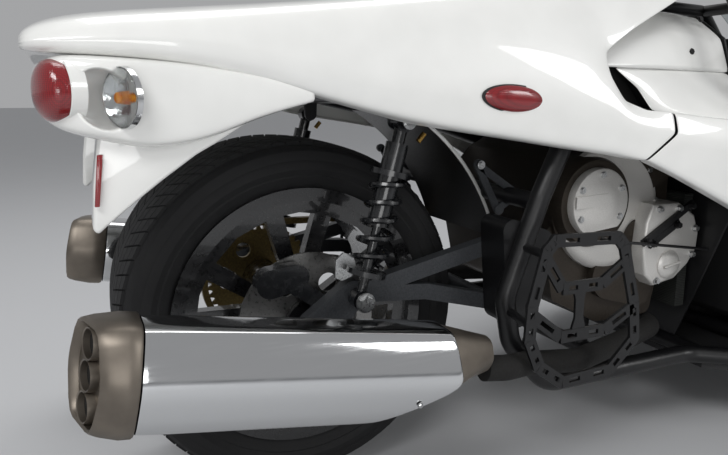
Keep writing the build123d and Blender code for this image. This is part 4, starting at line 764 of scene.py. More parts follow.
class CAR_OT_rear_fenders(Operator):
    """Shape the rear fenders: lamp pods under the cowl, with a splash guard below each"""

    bl_idname = "three_wheeler.rear_fenders"
    bl_label = "Rear fenders"

    def execute(self, context):
        for side, name in SIDES:
            bm = bmesh.new()
            rows = [[from_rear(side * x, y, z) for x, z in pod_ring(*numbers)] for y, *numbers in POD_ROWS]
            grid = sweep_rows(bm, rows, closed=True)
            for end in (grid[0], grid[-1]):
                bm.faces.new(end)
            crease_line(bm, grid[-1] + grid[-1][:1], 0.7)
            # A scoop is pressed into the side, shallow behind and deep in front, round the turn signal
            corners = {grid[3][3], grid[4][3], grid[3][4], grid[4][4]}
            scoop = next(face for face in grid[3][3].link_faces if set(face.verts) == corners)
            for inset, depth in ((0.004, 0.0), (0.004, -0.003)):
                bmesh.ops.inset_region(bm, faces=[scoop], thickness=inset, depth=depth, use_even_offset=True)
            for vert in scoop.verts:
                deep = vert.co.y > from_rear(0, SCOOP_MIDDLE_Y, 0).y
                vert.co.x -= side * (SCOOP_DEEP if deep else SCOOP_SHALLOW)
                vert.co.y -= 0.004 if deep else 0.0
            node = f"rear_fender_{name}"
            add_piece(f"{node}_pod", bm, "gelcoat_white", [node], levels=3)
            bm = bmesh.new()
            plate_from_outline(bm, side_view(side * GUARD_X, GUARD_OUTLINE), GUARD_DEPTH, (-side, 0, 0))
            round_edges(bm, sharp_edges(bm), 0.005, 3)
            add_piece(f"{node}_guard", bm, "gelcoat_white")
        return {"FINISHED"}


TAIL_LENS_PLACE, TAIL_LENS_OUT = (300, -396, 749), (0.36, -0.93, 0.0)
SIGNAL_PLACE, SIGNAL_OUT = (330, -312, 740), (0.47, -0.88, 0.0)
MARKER_PLACE, MARKER_OUT = (356, 303, 737), (1.0, -0.115, -0.06)
MARKER_STRETCH = 62.0 / 22.5  # Half length over half height of the oval
MARKER_TILT = radians(-5.0)
REFLECTOR_X = 304
LENS_PROFILE = [
    # Along the axis and radius: a deep flange and the dome
    (-0.028, 0.0), (-0.028, 0.041), (0.003, 0.041), (0.0085, 0.0385), (0.0130, 0.034), (0.0165, 0.028),
    (0.0190, 0.020), (0.0202, 0.011), (0.0205, 0.0),
]
BEZEL_PROFILE = [(-0.030, 0.040), (-0.030, 0.0445), (-0.010, 0.0440), (-0.009, 0.0425), (-0.010, 0.0412)]
BOWL_PROFILE = [
    (-0.022, 0.0), (-0.019, 0.015), (-0.010, 0.029), (0.001, 0.038), (0.002, 0.041), (-0.006, 0.042),
]
BULB_PROFILE = [
    (-0.020, 0.0), (-0.020, 0.006), (-0.010, 0.007), (-0.004, 0.0085), (0.002, 0.007), (0.005, 0.0),
]
COVER_PROFILE = [(0.0, 0.0), (0.0, 0.039), (0.003, 0.039), (0.007, 0.0345), (0.0105, 0.024), (0.012, 0.0)]
MARKER_PROFILE = [
    (-0.004, 0.0), (-0.004, 0.0215), (0.004, 0.0215), (0.008, 0.0185), (0.0105, 0.011), (0.0115, 0.0),
]
MARKER_BASE = [(-0.004, 0.0205), (-0.004, 0.0235), (0.0025, 0.0235), (0.003, 0.0210)]
REFLECTOR_OUTLINE = [(-339, 664), (-347, 664), (-355, 592), (-348, 592)]


class CAR_OT_rear_lamps(Operator):
    """Fit the tail lenses, turn signals with their bulbs, side markers and reflector strips"""

    bl_idname = "three_wheeler.rear_lamps"
    bl_label = "Rear lamps"

    def execute(self, context):
        domes, rings, bowls, bulbs, covers = (bmesh.new() for _ in range(5))
        up = (0, 0, 1)
        for side in (1, -1):
            for bm, profile, place, (x, y, z), steps in (
                (domes, LENS_PROFILE, TAIL_LENS_PLACE, TAIL_LENS_OUT, 40),
                (rings, BEZEL_PROFILE, TAIL_LENS_PLACE, TAIL_LENS_OUT, 40),
                (bowls, BOWL_PROFILE, SIGNAL_PLACE, SIGNAL_OUT, 40),
                (bulbs, BULB_PROFILE, SIGNAL_PLACE, SIGNAL_OUT, 20),
                (covers, COVER_PROFILE, SIGNAL_PLACE, SIGNAL_OUT, 40),
            ):
                spin_profile(bm, profile, on_side(side, place), (side * x, y, z), up, steps)
        add_piece("tail_lenses", domes, "red_acrylic", ["tail_lamps"])
        add_piece("tail_lens_bezels", rings, "gelcoat_white")
        add_piece("signal_reflectors", bowls, "lamp_reflector")
        add_piece("signal_bulbs", bulbs, "amber_bulb")
        add_piece("signal_covers", covers, "clear_lens", ["turn_signals"])

        markers, bases = bmesh.new(), bmesh.new()
        for side in (1, -1):
            centre = on_side(side, MARKER_PLACE)
            # The round lens is drawn out along the car to its oval
            middle = Matrix.Translation(centre)
            tilt = Matrix.Rotation(MARKER_TILT, 4, "X")
            oval = middle @ tilt @ Matrix.Diagonal((1.0, MARKER_STRETCH, 1.0, 1.0)) @ middle.inverted()
            for bm, profile in ((markers, MARKER_PROFILE), (bases, MARKER_BASE)):
                before = set(bm.verts)
                spin_profile(bm, profile, centre, (side * MARKER_OUT[0], *MARKER_OUT[1:]), up, 48)
                fresh = [vert for vert in bm.verts if vert not in before]
                bmesh.ops.transform(bm, matrix=oval, verts=fresh)
        add_piece("side_marker_lenses", markers, "red_acrylic", ["side_markers"])
        add_piece("side_marker_bases", bases, "abs_black")

        strips = bmesh.new()
        for side in (1, -1):
            outline = side_view(side * REFLECTOR_X, REFLECTOR_OUTLINE)
            plate_from_outline(strips, outline, 0.006, (side, 0, 0))
        round_edges(strips, sharp_edges(strips), 0.0015)
        add_piece("reflector_strips", strips, "red_acrylic")
        return {"FINISHED"}


REAR_TREAD, FRONT_TREAD = (0.14, 0.42, 0.72, 1.0), (0.16, 0.55, 1.0)
TYRES = [
    # Node, body, radius of the bead, half width of the rim, and the edges of the rib and the blocks as
    # shares of the tread's half width
    ("rear_tyre", "rear_wheel", 0.2286, 0.1332, REAR_TREAD),
    ("front_tyre_right", "front_wheel_right", 0.203, 0.0887, FRONT_TREAD),
    ("front_tyre_left", "front_wheel_left", 0.203, 0.0887, FRONT_TREAD),
]
TREAD_SHARE = 0.80  # Of the tyre's half width
TREAD_CROWN = 0.0035  # Fall of the tread from its middle to its edge
BLOCK_LEAN = -0.10  # Turn of the blocks at the tread's edge, in radians


class CAR_OT_tyres(Operator):
    """Mould the three tyres: blocks raised from the groove floor, and ribbed side walls"""

    bl_idname = "three_wheeler.tyres"
    bl_label = "Tyres"

    def execute(self, context):
        sizes = context.scene.three_wheeler_tyres
        for node, body, bead, rim_half, columns in TYRES:
            low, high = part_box(node)
            hub, radius, half = (low + high) / 2, (high.z - low.z) / 2, (high.x - low.x) / 2
            tread = TREAD_SHARE * half
            floor_r = radius - sizes.groove_depth
            wall = radius - bead
            side_line = [
                # The bead, then the side wall with its two ribs, up to the shoulder
                (rim_half, bead), (rim_half, bead + 0.017), (rim_half + 0.006, bead + 0.026),
                (half - 0.006, bead + 0.34 * wall), (half - 0.0045, bead + 0.37 * wall),
                (half - 0.0055, bead + 0.40 * wall), (half, bead + 0.50 * wall),
                (half - 0.001, bead + 0.62 * wall), (half - 0.0035, bead + 0.66 * wall),
                (half - 0.0035, bead + 0.69 * wall), (half - 0.008, bead + 0.82 * wall),
                (half - 0.017, floor_r - 0.006),
            ]
            marks = [share * tread for share in columns]
            crown = [(x, floor_r - TREAD_CROWN * (x / tread) ** 2) for x in reversed(marks)]
            right = side_line + crown
            profile = right + [(-x, r) for x, r in reversed(right)]
            bm = bmesh.new()
            spin_profile(bm, profile, hub, (1, 0, 0), (0, 0, 1), sizes.tread_pitches)
            bmesh.ops.remove_doubles(bm, verts=bm.verts, dist=WELD)
            bmesh.ops.recalc_face_normals(bm, faces=bm.faces)
            # The blocks lean back from the middle into a V
            for vert in bm.verts:
                offset = vert.co - hub
                lean = BLOCK_LEAN * min(abs(offset.x) / tread, 1.15)
                vert.co = hub + Matrix.Rotation(lean, 3, "X") @ offset
            rib, blocks = [], []
            for face in bm.faces:
                middle = face.calc_center_median() - hub
                if Vector((middle.y, middle.z)).length < floor_r - 0.012 or abs(middle.x) > tread:
                    continue
                (rib if abs(middle.x) < marks[0] else blocks).append(face)
            depth = sizes.groove_depth
            bmesh.ops.inset_region(bm, faces=rib, thickness=0.002, depth=depth, use_even_offset=True)
            bmesh.ops.inset_individual(bm, faces=blocks, thickness=0.0024, depth=depth)
            add_piece(
                f"{node}_moulded", bm, "tyre_rubber", [node], recalc=False, sharp=28, body=body
            )
        return {"FINISHED"}


# Rounded six-sided section, its side corners at mid height, as shares of half width and half height
HEX_QUARTER = [(1.0, 0.0), (0.97, 0.22), (0.78, 0.72), (0.62, 0.93), (0.42, 1.0), (0.0, 1.0)]
HEX_HALF = HEX_QUARTER + [(-u, v) for u, v in HEX_QUARTER[-2::-1]]
HEX_SECTION = HEX_HALF + [(-u, -v) for u, v in HEX_HALF[1:-1]]
SILENCER_FRONT = (400, 140, 306)
SILENCER_RISE = radians(9.0)
# Distances along the silencer run back from its front in millimetres, as its other sizes here
SLEEVE_END = 467
CONE_HALF_X, CONE_HALF_Z = 61.5, 71.5
OUTLET_BACK = 522
OUTLET_LIFTS = (0.043, 0.0, -0.043)  # Of the three outlets over the axis, in metres
SCREW_HEIGHT = -0.45  # Share of the half height
SLEEVE_SHARES = [
    # Share of the way from the slanted front to the rear edge, half width, half height
    (0.0, 62.5, 72.5), (0.004, 64.5, 74.5), (0.02, 65, 75), (0.3, 65, 75), (0.65, 65, 75), (0.985, 65, 75),
    (1.0, 64, 74),
]
CONE_SHARES = [0.0, 0.02, 0.25, 0.55, 0.8, 0.94, 1.0]
CONE_RING = (-84.0, 27.0, 31.0)  # Distance back, lift and radius of the cone's round front end
CAP_ROWS = [
    # Distance back, half width, half height, and how far the end's outward turn has come
    (469, 61, 71, 0.0), (469.5, 65, 75, 0.0), (473, 67.5, 77.5, 0.0), (492, 68, 78, 0.3), (520, 63, 74, 0.8),
    (530, 60, 71, 1.0), (534, 57, 68, 1.0), (531, 54, 65, 1.0), (522, 53, 64, 1.0),
]
CAP_TURN = 0.30  # Slope of the cap's end face, which looks outward


def front_cut(v):
    """Distance back from the sleeve's datum to its slanted front edge, by height share."""
    return -12.0 + 16.0 * v if v > 0 else -12.0 + 149.0 * (-v) ** 1.5


def silencer_point(side, along, x, z):
    """Place in metres from millimetres along, across and up from a silencer's axis."""
    local = Matrix.Rotation(-SILENCER_RISE, 3, "X") @ Vector((x, -along, z))
    return on_side(side, Vector(SILENCER_FRONT) + local)


def sleeve_rows(side):
    """Rings of the sleeve, from its slanted front to its straight rear edge."""
    return [
        [
            silencer_point(side, front_cut(v) * (1 - share) + SLEEVE_END * share, u * half_x, v * half_z)
            for u, v in HEX_SECTION
        ]
        for share, half_x, half_z in SLEEVE_SHARES
    ]


def cone_rows(side):
    """Rings of the cone, from the sleeve's slanted front to the round pipe ahead of it."""
    along_end, lift, radius = CONE_RING
    rows = []
    for share in CONE_SHARES:
        ease = share ** 0.85
        ring = []
        for u, v in HEX_SECTION:
            angle = atan2(v, u)
            start = Vector((u * CONE_HALF_X, front_cut(v) + 3.0, v * CONE_HALF_Z))
            end = Vector((radius * cos(angle), along_end, lift + radius * sin(angle)))
            x, along, z = start.lerp(end, ease)
            ring.append(silencer_point(side, along, x, z))
        rows.append(ring)
    return rows


def cap_rows(side):
    """Rings of the end cap, whose end is turned outward."""
    return [
        [
            silencer_point(side, along - CAP_TURN * turned * u * half_x, u * half_x, v * half_z)
            for u, v in HEX_SECTION
        ]
        for along, half_x, half_z, turned in CAP_ROWS
    ]


OUTLET_PROFILE = [(0.0, 0.0235), (0.007, 0.0225), (0.011, 0.0215), (0.010, 0.0195), (0.001, 0.0190)]
BORE_PROFILE = [(0.004, 0.0195), (0.0005, 0.0190), (0.0005, 0.0)]


class CAR_OT_silencers(Operator):
    """Form the silencers: polished sleeves, heat-tinted cones and end caps with three outlets each"""

    bl_idname = "three_wheeler.silencers"
    bl_label = "Silencers"

    def execute(self, context):
        for side, name in SIDES:
            node = f"silencer_{name}"
            bm = bmesh.new()
            sweep_rows(bm, sleeve_rows(side), closed=True)
            add_piece(f"{node}_sleeve", bm, "polished_stainless", [node], levels=2)
            bm = bmesh.new()
            sweep_rows(bm, cone_rows(side), closed=True)
            add_piece(f"{node}_cone", bm, "heat_tinted_steel", levels=2)
        caps, bores, screws = bmesh.new(), bmesh.new(), bmesh.new()
        for side in (1, -1):
            grid = sweep_rows(caps, cap_rows(side), closed=True)
            back = caps.faces.new(grid[-1])
            bmesh.ops.recalc_face_normals(caps, faces=[back])
            centre = silencer_point(side, OUTLET_BACK, 0, 0)
            edge = silencer_point(side, OUTLET_BACK - CAP_TURN * 50, 50, 0) - centre
            up = (silencer_point(side, OUTLET_BACK, 0, 10) - centre).normalized()
            out = edge.cross(up).normalized() * side
            if out.y > 0:
                out.negate()
            for lift in OUTLET_LIFTS:
                spin_profile(caps, OUTLET_PROFILE, centre + up * lift, out, up, 32)
                spin_profile(bores, BORE_PROFILE, centre + up * lift, out, up, 32)
            place = silencer_point(side, front_cut(SCREW_HEIGHT) + 26, 58.5, SCREW_HEIGHT * 75)
            bolt_head(screws, place, (side, 0, -0.35), 0.007, 0.004)
        add_piece("silencer_end_caps", caps, "heat_tinted_steel", ["silencer_caps"])
        add_piece("silencer_outlets", bores, "dull_black_soot_and_shade")
        add_piece("silencer_screws", screws, "plated_steel")
        return {"FINISHED"}


COVER_CENTRE = (568, 534)
DRUM_CENTRE = (570, 532)
CASE_CENTRE = (624, 516)
CASE_PROFILE = [(0.236, 0.130), (0.250, 0.129), (0.258, 0.122), (0.262, 0.108), (0.262, 0.0)]
DRUM_PROFILE = [(0.238, 0.094), (0.262, 0.091), (0.272, 0.086), (0.2725, 0.078), (0.264, 0.0)]
CLUTCH_CAP_PROFILE = [
    (0.2660, 0.0), (0.2660, 0.0700), (0.2860, 0.0695), (0.2885, 0.0680), (0.2895, 0.0640), (0.2895, 0.0500),
    (0.2915, 0.0420), (0.2930, 0.0240), (0.2935, 0.0),
]
PUMP_OUTLINE = [
    # y and z around the pump casing, which stands ahead of the clutch case
    (700, 524), (772, 524), (820, 494), (836, 455), (834, 420), (812, 388), (776, 360), (718, 350),
    (690, 376), (680, 430), (684, 486),
]
PUMP_BOLTS = [(716, 514), (770, 512), (822, 466), (818, 410), (722, 362), (692, 444)]
CASE_BOLT_ANGLES = (-62, -30, 4, 38, 66)
COVER_BOLT_ANGLES = (30, 90, 150, 210, 330)
PUMP_FACE_X, PUMP_DEPTH = 298, 0.058
PUMP_CAP_CENTRE = (752, 394)
PUMP_BAR = [(309, 730, 391), (309, 774, 399)]
PUMP_BOLT_X = 297.5
COVER_PLATE_X = 294.2
COVER_FLAT_DROP = 0.054  # From the cover's centre to its cut foot
BRACKET_X = 304
BRACKET_BARS = [
    # Start and end of each bar of the dark bracket across the pump casing
    ((672, 446), (806, 522)),
    ((690, 440), (770, 484)),
]
PUMP_CAP_PROFILE = [(0.296, 0.030), (0.301, 0.030), (0.305, 0.026), (0.308, 0.017), (0.309, 0.0)]
COVER_PLATE = [(502, 527), (580, 531), (588, 537), (588, 548), (580, 554), (502, 550)]
GEAR_RODS = [
    # Start, end, radius: the gear rod, its two ball ends and the lever on the casing
    ((322, 560, 466), (322, 836, 424), 0.003),
    ((322, 560, 466), (322, 578, 463), 0.006),
    ((300, 566, 465), (322, 566, 465), 0.005),
]


class CAR_OT_engine_details(Operator):
    """Dress the engine: clutch case, drum and cover, pump casing, bracket, bolts and gear rod"""

    bl_idname = "three_wheeler.engine_details"
    bl_label = "Engine details"

    def execute(self, context):
        out, up = Vector((1, 0, 0)), (0, 0, 1)
        bm = bmesh.new()
        spin_profile(bm, CASE_PROFILE, from_rear(0, *CASE_CENTRE), out, up, 64)
        plate_from_outline(bm, side_view(PUMP_FACE_X, PUMP_OUTLINE), PUMP_DEPTH, -out)
        round_edges(bm, [e for e in sharp_edges(bm, 20) if min(v.co.x for v in e.verts) > 0.29], 0.007, 3)
        spin_profile(bm, PUMP_CAP_PROFILE, from_rear(0, *PUMP_CAP_CENTRE), out, up, 40)
        rod_between(bm, *(from_rear(*place) for place in PUMP_BAR), 0.0035, 8)
        add_piece("clutch_and_pump_cases", bm, "cover_alloy")

        bm = bmesh.new()
        spin_profile(bm, DRUM_PROFILE, from_rear(0, *DRUM_CENTRE), out, up, 64)
        add_piece("clutch_drum", bm, "dark_cast_alloy")

        bm = bmesh.new()
        centre = from_rear(0, *COVER_CENTRE)
        spin_profile(bm, CLUTCH_CAP_PROFILE, centre, out, up, 72)
        cut = bmesh.ops.bisect_plane(
            bm, geom=bm.verts[:] + bm.edges[:] + bm.faces[:], clear_outer=True,
            plane_co=centre - Vector((0, 0, COVER_FLAT_DROP)), plane_no=(0, 0.10, -1),
        )["geom_cut"]
        bmesh.ops.edgenet_fill(bm, edges=[item for item in cut if isinstance(item, bmesh.types.BMEdge)])
        plate_from_outline(bm, side_view(COVER_PLATE_X, COVER_PLATE), 0.004, -out)
        add_piece("clutch_cover_cap", bm, "cover_alloy", ["clutch_cover"])

        bm = bmesh.new()
        for middle, angles, x, radius, width, height in (
            (centre, COVER_BOLT_ANGLES, 0.2892, 0.057, 0.0105, 0.0045),
            (from_rear(0, *CASE_CENTRE), CASE_BOLT_ANGLES, 0.256, 0.121, 0.011, 0.008),
        ):
            for turn in map(radians, angles):
                place = middle + Vector((x, radius * cos(turn), radius * sin(turn)))
                bolt_head(bm, place, out, width, height)
        for place in side_view(PUMP_BOLT_X, PUMP_BOLTS):
            bolt_head(bm, place, out, 0.011, 0.008)
        add_piece("engine_bolts", bm, "plated_steel")

        bm = bmesh.new()
        for ends in BRACKET_BARS:
            start, end = side_view(BRACKET_X, ends)
            flat_bar(bm, start, end, out, 0.007, 0.006)
            along = (end - start).normalized()
            for place in (start + along * 0.010, end - along * 0.010):
                bolt_head(bm, place + out * 0.0005, out, 0.012, 0.009)
        for start, end, radius in GEAR_RODS:
            rod_between(bm, from_rear(*start), from_rear(*end), radius)
        add_piece("engine_brackets", bm, "powder_black")
        return {"FINISHED"}


RACK_FACE_X = 420
RACK_LEG_X = 318
RACK_BAR = 0.0112  # Half width of a bar
SLOT_HALF, SLOT_WIDE = 0.22, 0.36  # Half a slot's length and width, as shares of its stretch and of RACK_BAR
RACK_OUTLINE = [
    # y and z around the frame's middle line
    (336, 488), (352, 504), (490, 498), (505, 482), (538, 372), (546, 303), (492, 251), (383, 246),
    (331, 283), (308, 335), (311, 394),
]
RACK_LEGS = [((368, 470), (336, 480)), ((338, 352), (311, 358))]
RACK_BARS = [
    # Start, end and number of slots of each bar inside the frame
    ((334, 474), (373, 418), 1), ((373, 418), (460, 418), 2), ((460, 418), (518, 456), 1),
    ((312, 378), (374, 331), 1), ((374, 331), (470, 331), 2), ((470, 331), (538, 366), 1),
]
RACK_POST = [
    (398, 408), (424, 409), (421, 396), (421, 362), (428, 338), (396, 338), (403, 362), (402, 396),
]


class CAR_OT_pannier_racks(Operator):
    """Cut the pannier racks: a framed plate with slotted bars and a post between them"""

    bl_idname = "three_wheeler.pannier_racks"
    bl_label = "Pannier racks"

    def execute(self, context):
        for side, name in SIDES:
            bm = bmesh.new()
            ring = list(zip(RACK_OUTLINE, RACK_OUTLINE[1:] + RACK_OUTLINE[:1], [2] * len(RACK_OUTLINE)))
            for number, (start, end, slots) in enumerate(ring + RACK_BARS):
                self.slotted_bar(bm, side, start, end, slots, 0.0002 * (number % 3))
            for place in side_view(side * (RACK_FACE_X - 0.8), RACK_OUTLINE):
                rod_between(bm, place, place - Vector((side * 0.0065, 0, 0)), RACK_BAR * 1.02, 24)
            plate_from_outline(bm, side_view(side * (RACK_FACE_X - 1), RACK_POST), 0.005, (-side, 0, 0))
            for foot, tip in RACK_LEGS:
                start = from_rear(side * RACK_LEG_X, *foot)
                rod_between(bm, start, from_rear(side * (RACK_FACE_X - 3), *tip), 0.0075, 20)
            node = f"pannier_rack_{name}"
            add_piece(f"{node}_frame", bm, "powder_black", [node])
        return {"FINISHED"}

    def slotted_bar(self, bm, side, start, end, slots, step):
        """Bar between two places, with slots along its middle; a step keeps crossing bars off one plane."""
        start, end = (
            place - Vector((side * step, 0, 0)) for place in side_view(side * RACK_FACE_X, (start, end))
        )
        span = end - start
        across = span.normalized().cross(Vector((1, 0, 0))) * RACK_BAR
        share = SLOT_HALF / slots
        marks = [(k + 0.5) / slots for k in range(slots)]
        solid = [0.0, *[edge for mark in marks for edge in (mark - share, mark + share)], 1.0]
        for number, (a, b) in enumerate(zip(solid, solid[1:])):
            bands = ((-1.0, 1.0),) if number % 2 == 0 else ((-1.0, -SLOT_WIDE), (SLOT_WIDE, 1.0))
            for low, high in bands:
                corners = [
                    start + span * along + across * wide
                    for along, wide in ((a, low), (b, low), (b, high), (a, high))
                ]
                plate_from_outline(bm, corners, 0.006, (-side, 0, 0))


SEAT_X = 0.225
PAD_BLOCKS = {
    # Rear and front edge at the foot and at the head, as y and z in side view, and the half width
    "base": [(1136, 262), (1136, 330), (1486, 338), (1486, 262), 0.118],
    "back": [(1048, 345), (1098, 372), (968, 832), (916, 832), 0.118],
}
BOLSTER_BLOCKS = [
    # The side rolls beside the base and the back: side view corners
    [(1150, 262), (1150, 392), (1462, 388), (1478, 272)],
    [(1040, 350), (1172, 404), (1026, 764), (928, 786)],
]
SHELL_OUTLINE = [
    # The hard back and pan behind the pads, in side view
    (892, 858), (912, 858), (1044, 342), (1130, 258), (1488, 258), (1506, 212), (1060, 212), (1000, 244),
]
CHANNEL_HEIGHTS = (0.46, 0.56, 0.66)
PAD_VOXEL = 0.006
PAD_SWELL = 0.012  # The farthest that a pad may swell
PAD_PRESSURE = 4.0
CLOTH_FRAMES = 20
SEAM_WIDTH = SEAM_DEPTH = 0.007
ROLL_OFFSET, ROLL_HALF = 0.1475, 0.0235  # From the seat's middle to a side roll's, and its half width
SHELL_HALF = 178  # In millimetres


def side_block(bm, corners, middle_x, half):
    """Block of a side-view outline between two x planes, with well rounded edges."""
    plate_from_outline(bm, side_view((middle_x - half) * 1000, corners), 2 * half, (1, 0, 0))
    bmesh.ops.recalc_face_normals(bm, faces=bm.faces)
    round_edges(bm, bm.edges[:], 0.016, 3)


def swell(pad):
    """Remeshes a pad, blows it up as cloth and caps how far it swells."""
    scene = bpy.context.scene
    remesh = pad.modifiers.new("voxels", "REMESH")
    remesh.mode, remesh.voxel_size = "VOXEL", PAD_VOXEL
    depsgraph = bpy.context.evaluated_depsgraph_get()
    skin = bpy.data.meshes.new_from_object(pad.evaluated_get(depsgraph))
    pad.modifiers.clear()
    pad.data = skin
    rest = [vert.co.copy() for vert in skin.vertices]
    cloth = pad.modifiers.new("cloth", "CLOTH")
    cloth.settings.use_pressure = True
    cloth.settings.uniform_pressure_force = PAD_PRESSURE
    cloth.settings.effector_weights.gravity = 0.0
    cloth.point_cache.frame_start, cloth.point_cache.frame_end = 1, CLOTH_FRAMES
    for step in range(1, CLOTH_FRAMES + 1):
        scene.frame_set(step)
    depsgraph = bpy.context.evaluated_depsgraph_get()
    blown = bpy.data.meshes.new_from_object(pad.evaluated_get(depsgraph))
    pad.modifiers.clear()
    for vert, place, soft in zip(skin.vertices, rest, blown.vertices):
        move = soft.co - place
        if move.length > PAD_SWELL:
            move.length = PAD_SWELL
        vert.co = place + move
    bpy.data.meshes.remove(blown)
    scene.frame_set(1)


def sew_channels(pad, heights):
    """Draws level seams into a pad's skin where it is sewn through."""
    for vert in pad.data.vertices:
        for height in heights:
            near = abs(vert.co.z - height) / SEAM_WIDTH
            if near < 3:
                vert.co -= vert.normal * SEAM_DEPTH * exp(-near * near)


class CAR_OT_seats(Operator):
    """Pad the two seats: a sewn back and base, side rolls and the shell that carries them"""

    bl_idname = "three_wheeler.seats"
    bl_label = "Seats"

    def execute(self, context):
        for part, corners in PAD_BLOCKS.items():
            bm = bmesh.new()
            side_block(bm, corners[:4], SEAT_X, corners[4])
            right = add_piece(f"seat_{part}_pad_right", bm, "seat_vinyl")
            swell(right)
            if part == "back":
                sew_channels(right, CHANNEL_HEIGHTS)
            self.finish_pads(right, f"seat_{part}_pad_left")
        bm = bmesh.new()
        for corners in BOLSTER_BLOCKS:
            for side in (1, -1):
                roll = bmesh.new()
                side_block(roll, corners, SEAT_X + side * ROLL_OFFSET, ROLL_HALF)
                part = bpy.data.meshes.new("roll")
                roll.to_mesh(part)
                roll.free()
                bm.from_mesh(part)
                bpy.data.meshes.remove(part)
        right = add_piece("seat_side_rolls_right", bm, "seat_vinyl")
        swell(right)
        self.finish_pads(right, "seat_side_rolls_left")
        for side, name in SIDES:
            bm = bmesh.new()
            outline = side_view(side * SEAT_X * 1000 - SHELL_HALF, SHELL_OUTLINE)
            plate_from_outline(bm, outline, 2 * SHELL_HALF / 1000, (1, 0, 0))
            bmesh.ops.recalc_face_normals(bm, faces=bm.faces)
            round_edges(bm, sharp_edges(bm, 20), 0.006, 3)
            add_piece(f"seat_shell_{name}", bm, "abs_black", [f"seat_{name}"])
        return {"FINISHED"}

    def finish_pads(self, right, left_name):
        """Mirrors a finished right pad to the left seat, and smooths both with one level of subdivision."""
        bm = bmesh.new()
        bm.from_mesh(right.data)
        bmesh.ops.scale(bm, vec=(-1, 1, 1), verts=bm.verts)
        left = add_piece(left_name, bm, "seat_vinyl")
        for pad in (right, left):
            for face in pad.data.polygons:
                face.use_smooth = True
            smooth = pad.modifiers.new("smooth", "SUBSURF")
            smooth.levels = smooth.render_levels = 1


NOSE_ROWS = [
    # y from the front axle, then x and z of the centre, top, ridge, side and edge
    (-316, (0, 708), (250, 702), (400, 668), (474, 540), (470, 300)),
    (-214, (0, 684), (224, 679), (360, 646), (426, 532), (417, 332)),
    (-60, (0, 652), (180, 644), (300, 612), (352, 524), (336, 380)),
    (120, (0, 600), (176, 592), (292, 552), (330, 514), (322, 325)),
    (214, (0, 572), (173, 565), (288, 521), (312, 505), (317, 300)),
    (300, (0, 548), (170, 540), (284, 492), (334, 390), (310, 270)),
    (450, (0, 482), (150, 475), (250, 430), (298, 345), (275, 247)),
    (600, (0, 416), (130, 410), (214, 368), (262, 300), (240, 225)),
    (700, (0, 354), (90, 350), (152, 321), (188, 275), (172, 229)),
    (774, (0, 298), (60, 296), (104, 280), (128, 256), (120, 237)),
    (772, (0, 242), (60, 242), (100, 241), (122, 240), (119, 238)),
]
WISHBONE_GAP = 0.215  # Half of the opening round the wishbones, along the car
LAMP_PLACE = (158, 668, 344)
LAMP_OUT = (0.30, 0.70, 0.64)
LAMP_BACK = (145, 562, 326)
LAMP_BUCKET_R = 0.026
HEADLAMP_BEZEL = [
    (-0.020, 0.046), (-0.020, 0.054), (0.006, 0.053), (0.010, 0.050), (0.009, 0.047), (-0.004, 0.046),
]
HEADLAMP_BOWL = [
    (-0.006, 0.046), (-0.008, 0.036), (-0.004, 0.027), (-0.004, 0.022), (0.0, 0.021), (0.004, 0.014),
    (0.006, 0.0),
]
HEADLAMP_LENS = [(0.006, 0.0465), (0.012, 0.040), (0.017, 0.022), (0.018, 0.0)]


class CAR_OT_nose(Operator):
    """Shape the nose cowl round the openings for the wishbones, and fit the headlamps"""

    bl_idname = "three_wheeler.nose"
    bl_label = "Nose and headlamps"

    def execute(self, context):
        bm = bmesh.new()
        grid = sweep_rows(bm, rows_across(NOSE_ROWS, from_front))
        foot = {row[4] for row in grid}
        opening = [
            face for face in bm.faces
            if all(abs(vert.co.y - FRONT_HUB.y) < WISHBONE_GAP for vert in face.verts)
            and any(vert in foot for vert in face.verts)
        ]
        bmesh.ops.delete(bm, geom=opening, context="FACES")
        for column, weight in ((2, 0.35), (3, 0.3)):
            crease_line(bm, [row[column] for row in grid], weight)
        mirror_across(bm)
        add_panel("nose_cowl_panel", bm, ["nose_cowl"])

        bezels, bowls, lenses = bmesh.new(), bmesh.new(), bmesh.new()
        for side in (1, -1):
            centre = on_side(side, LAMP_PLACE, from_front)
            out = (side * LAMP_OUT[0], *LAMP_OUT[1:])
            for bm, profile in ((bezels, HEADLAMP_BEZEL), (bowls, HEADLAMP_BOWL), (lenses, HEADLAMP_LENS)):
                spin_profile(bm, profile, centre, out, (side, 0, -0.47), 48)
            rod_between(bezels, on_side(side, LAMP_BACK, from_front), centre, LAMP_BUCKET_R, 32)
        add_piece("headlamp_bezels", bezels, "abs_black")
        add_piece("headlamp_reflectors", bowls, "lamp_reflector")
        add_piece("headlamp_lenses", lenses, "clear_lens", ["headlamps"])
        return {"FINISHED"}


MIRROR_PLACE = (660, 520, 812)
MIRROR_SIZE = (0.158, 0.048, 0.088)
MIRROR_TAPER = (0.72, 0.66)  # Width and height of the case's front over its back
GLASS_SIZE = (0.138, 0.068, 1.0, 1.0)
GLASS_BACK = 0.0243  # From the case's middle to the glass
STALK_ENDS = [(404, 529, 739), (610, 528, 790)]
GAUGES = [(-270, 0.042), (-178, 0.042), (-108, 0.024)]  # x in millimetres and radius in metres
GAUGE_Y, GAUGE_Z = 435, 670
GAUGE_OUT = (0, -0.77, 0.64)
MARK_ANGLES = range(-135, 136, 27)
NEEDLE_ANGLE = -120
ROOF_CORNER_R = 0.055
# The wheel guard's edge, along which a strip of round section runs on each side, in the guard's own white as
# a painted highlight on the guard that is painted black
GUARD_EDGE_X = 0.139
GUARD_EDGE_R = 0.4395
STRIP_R = 0.004
STRIP_START, STRIP_SWEEP = radians(17), radians(42)


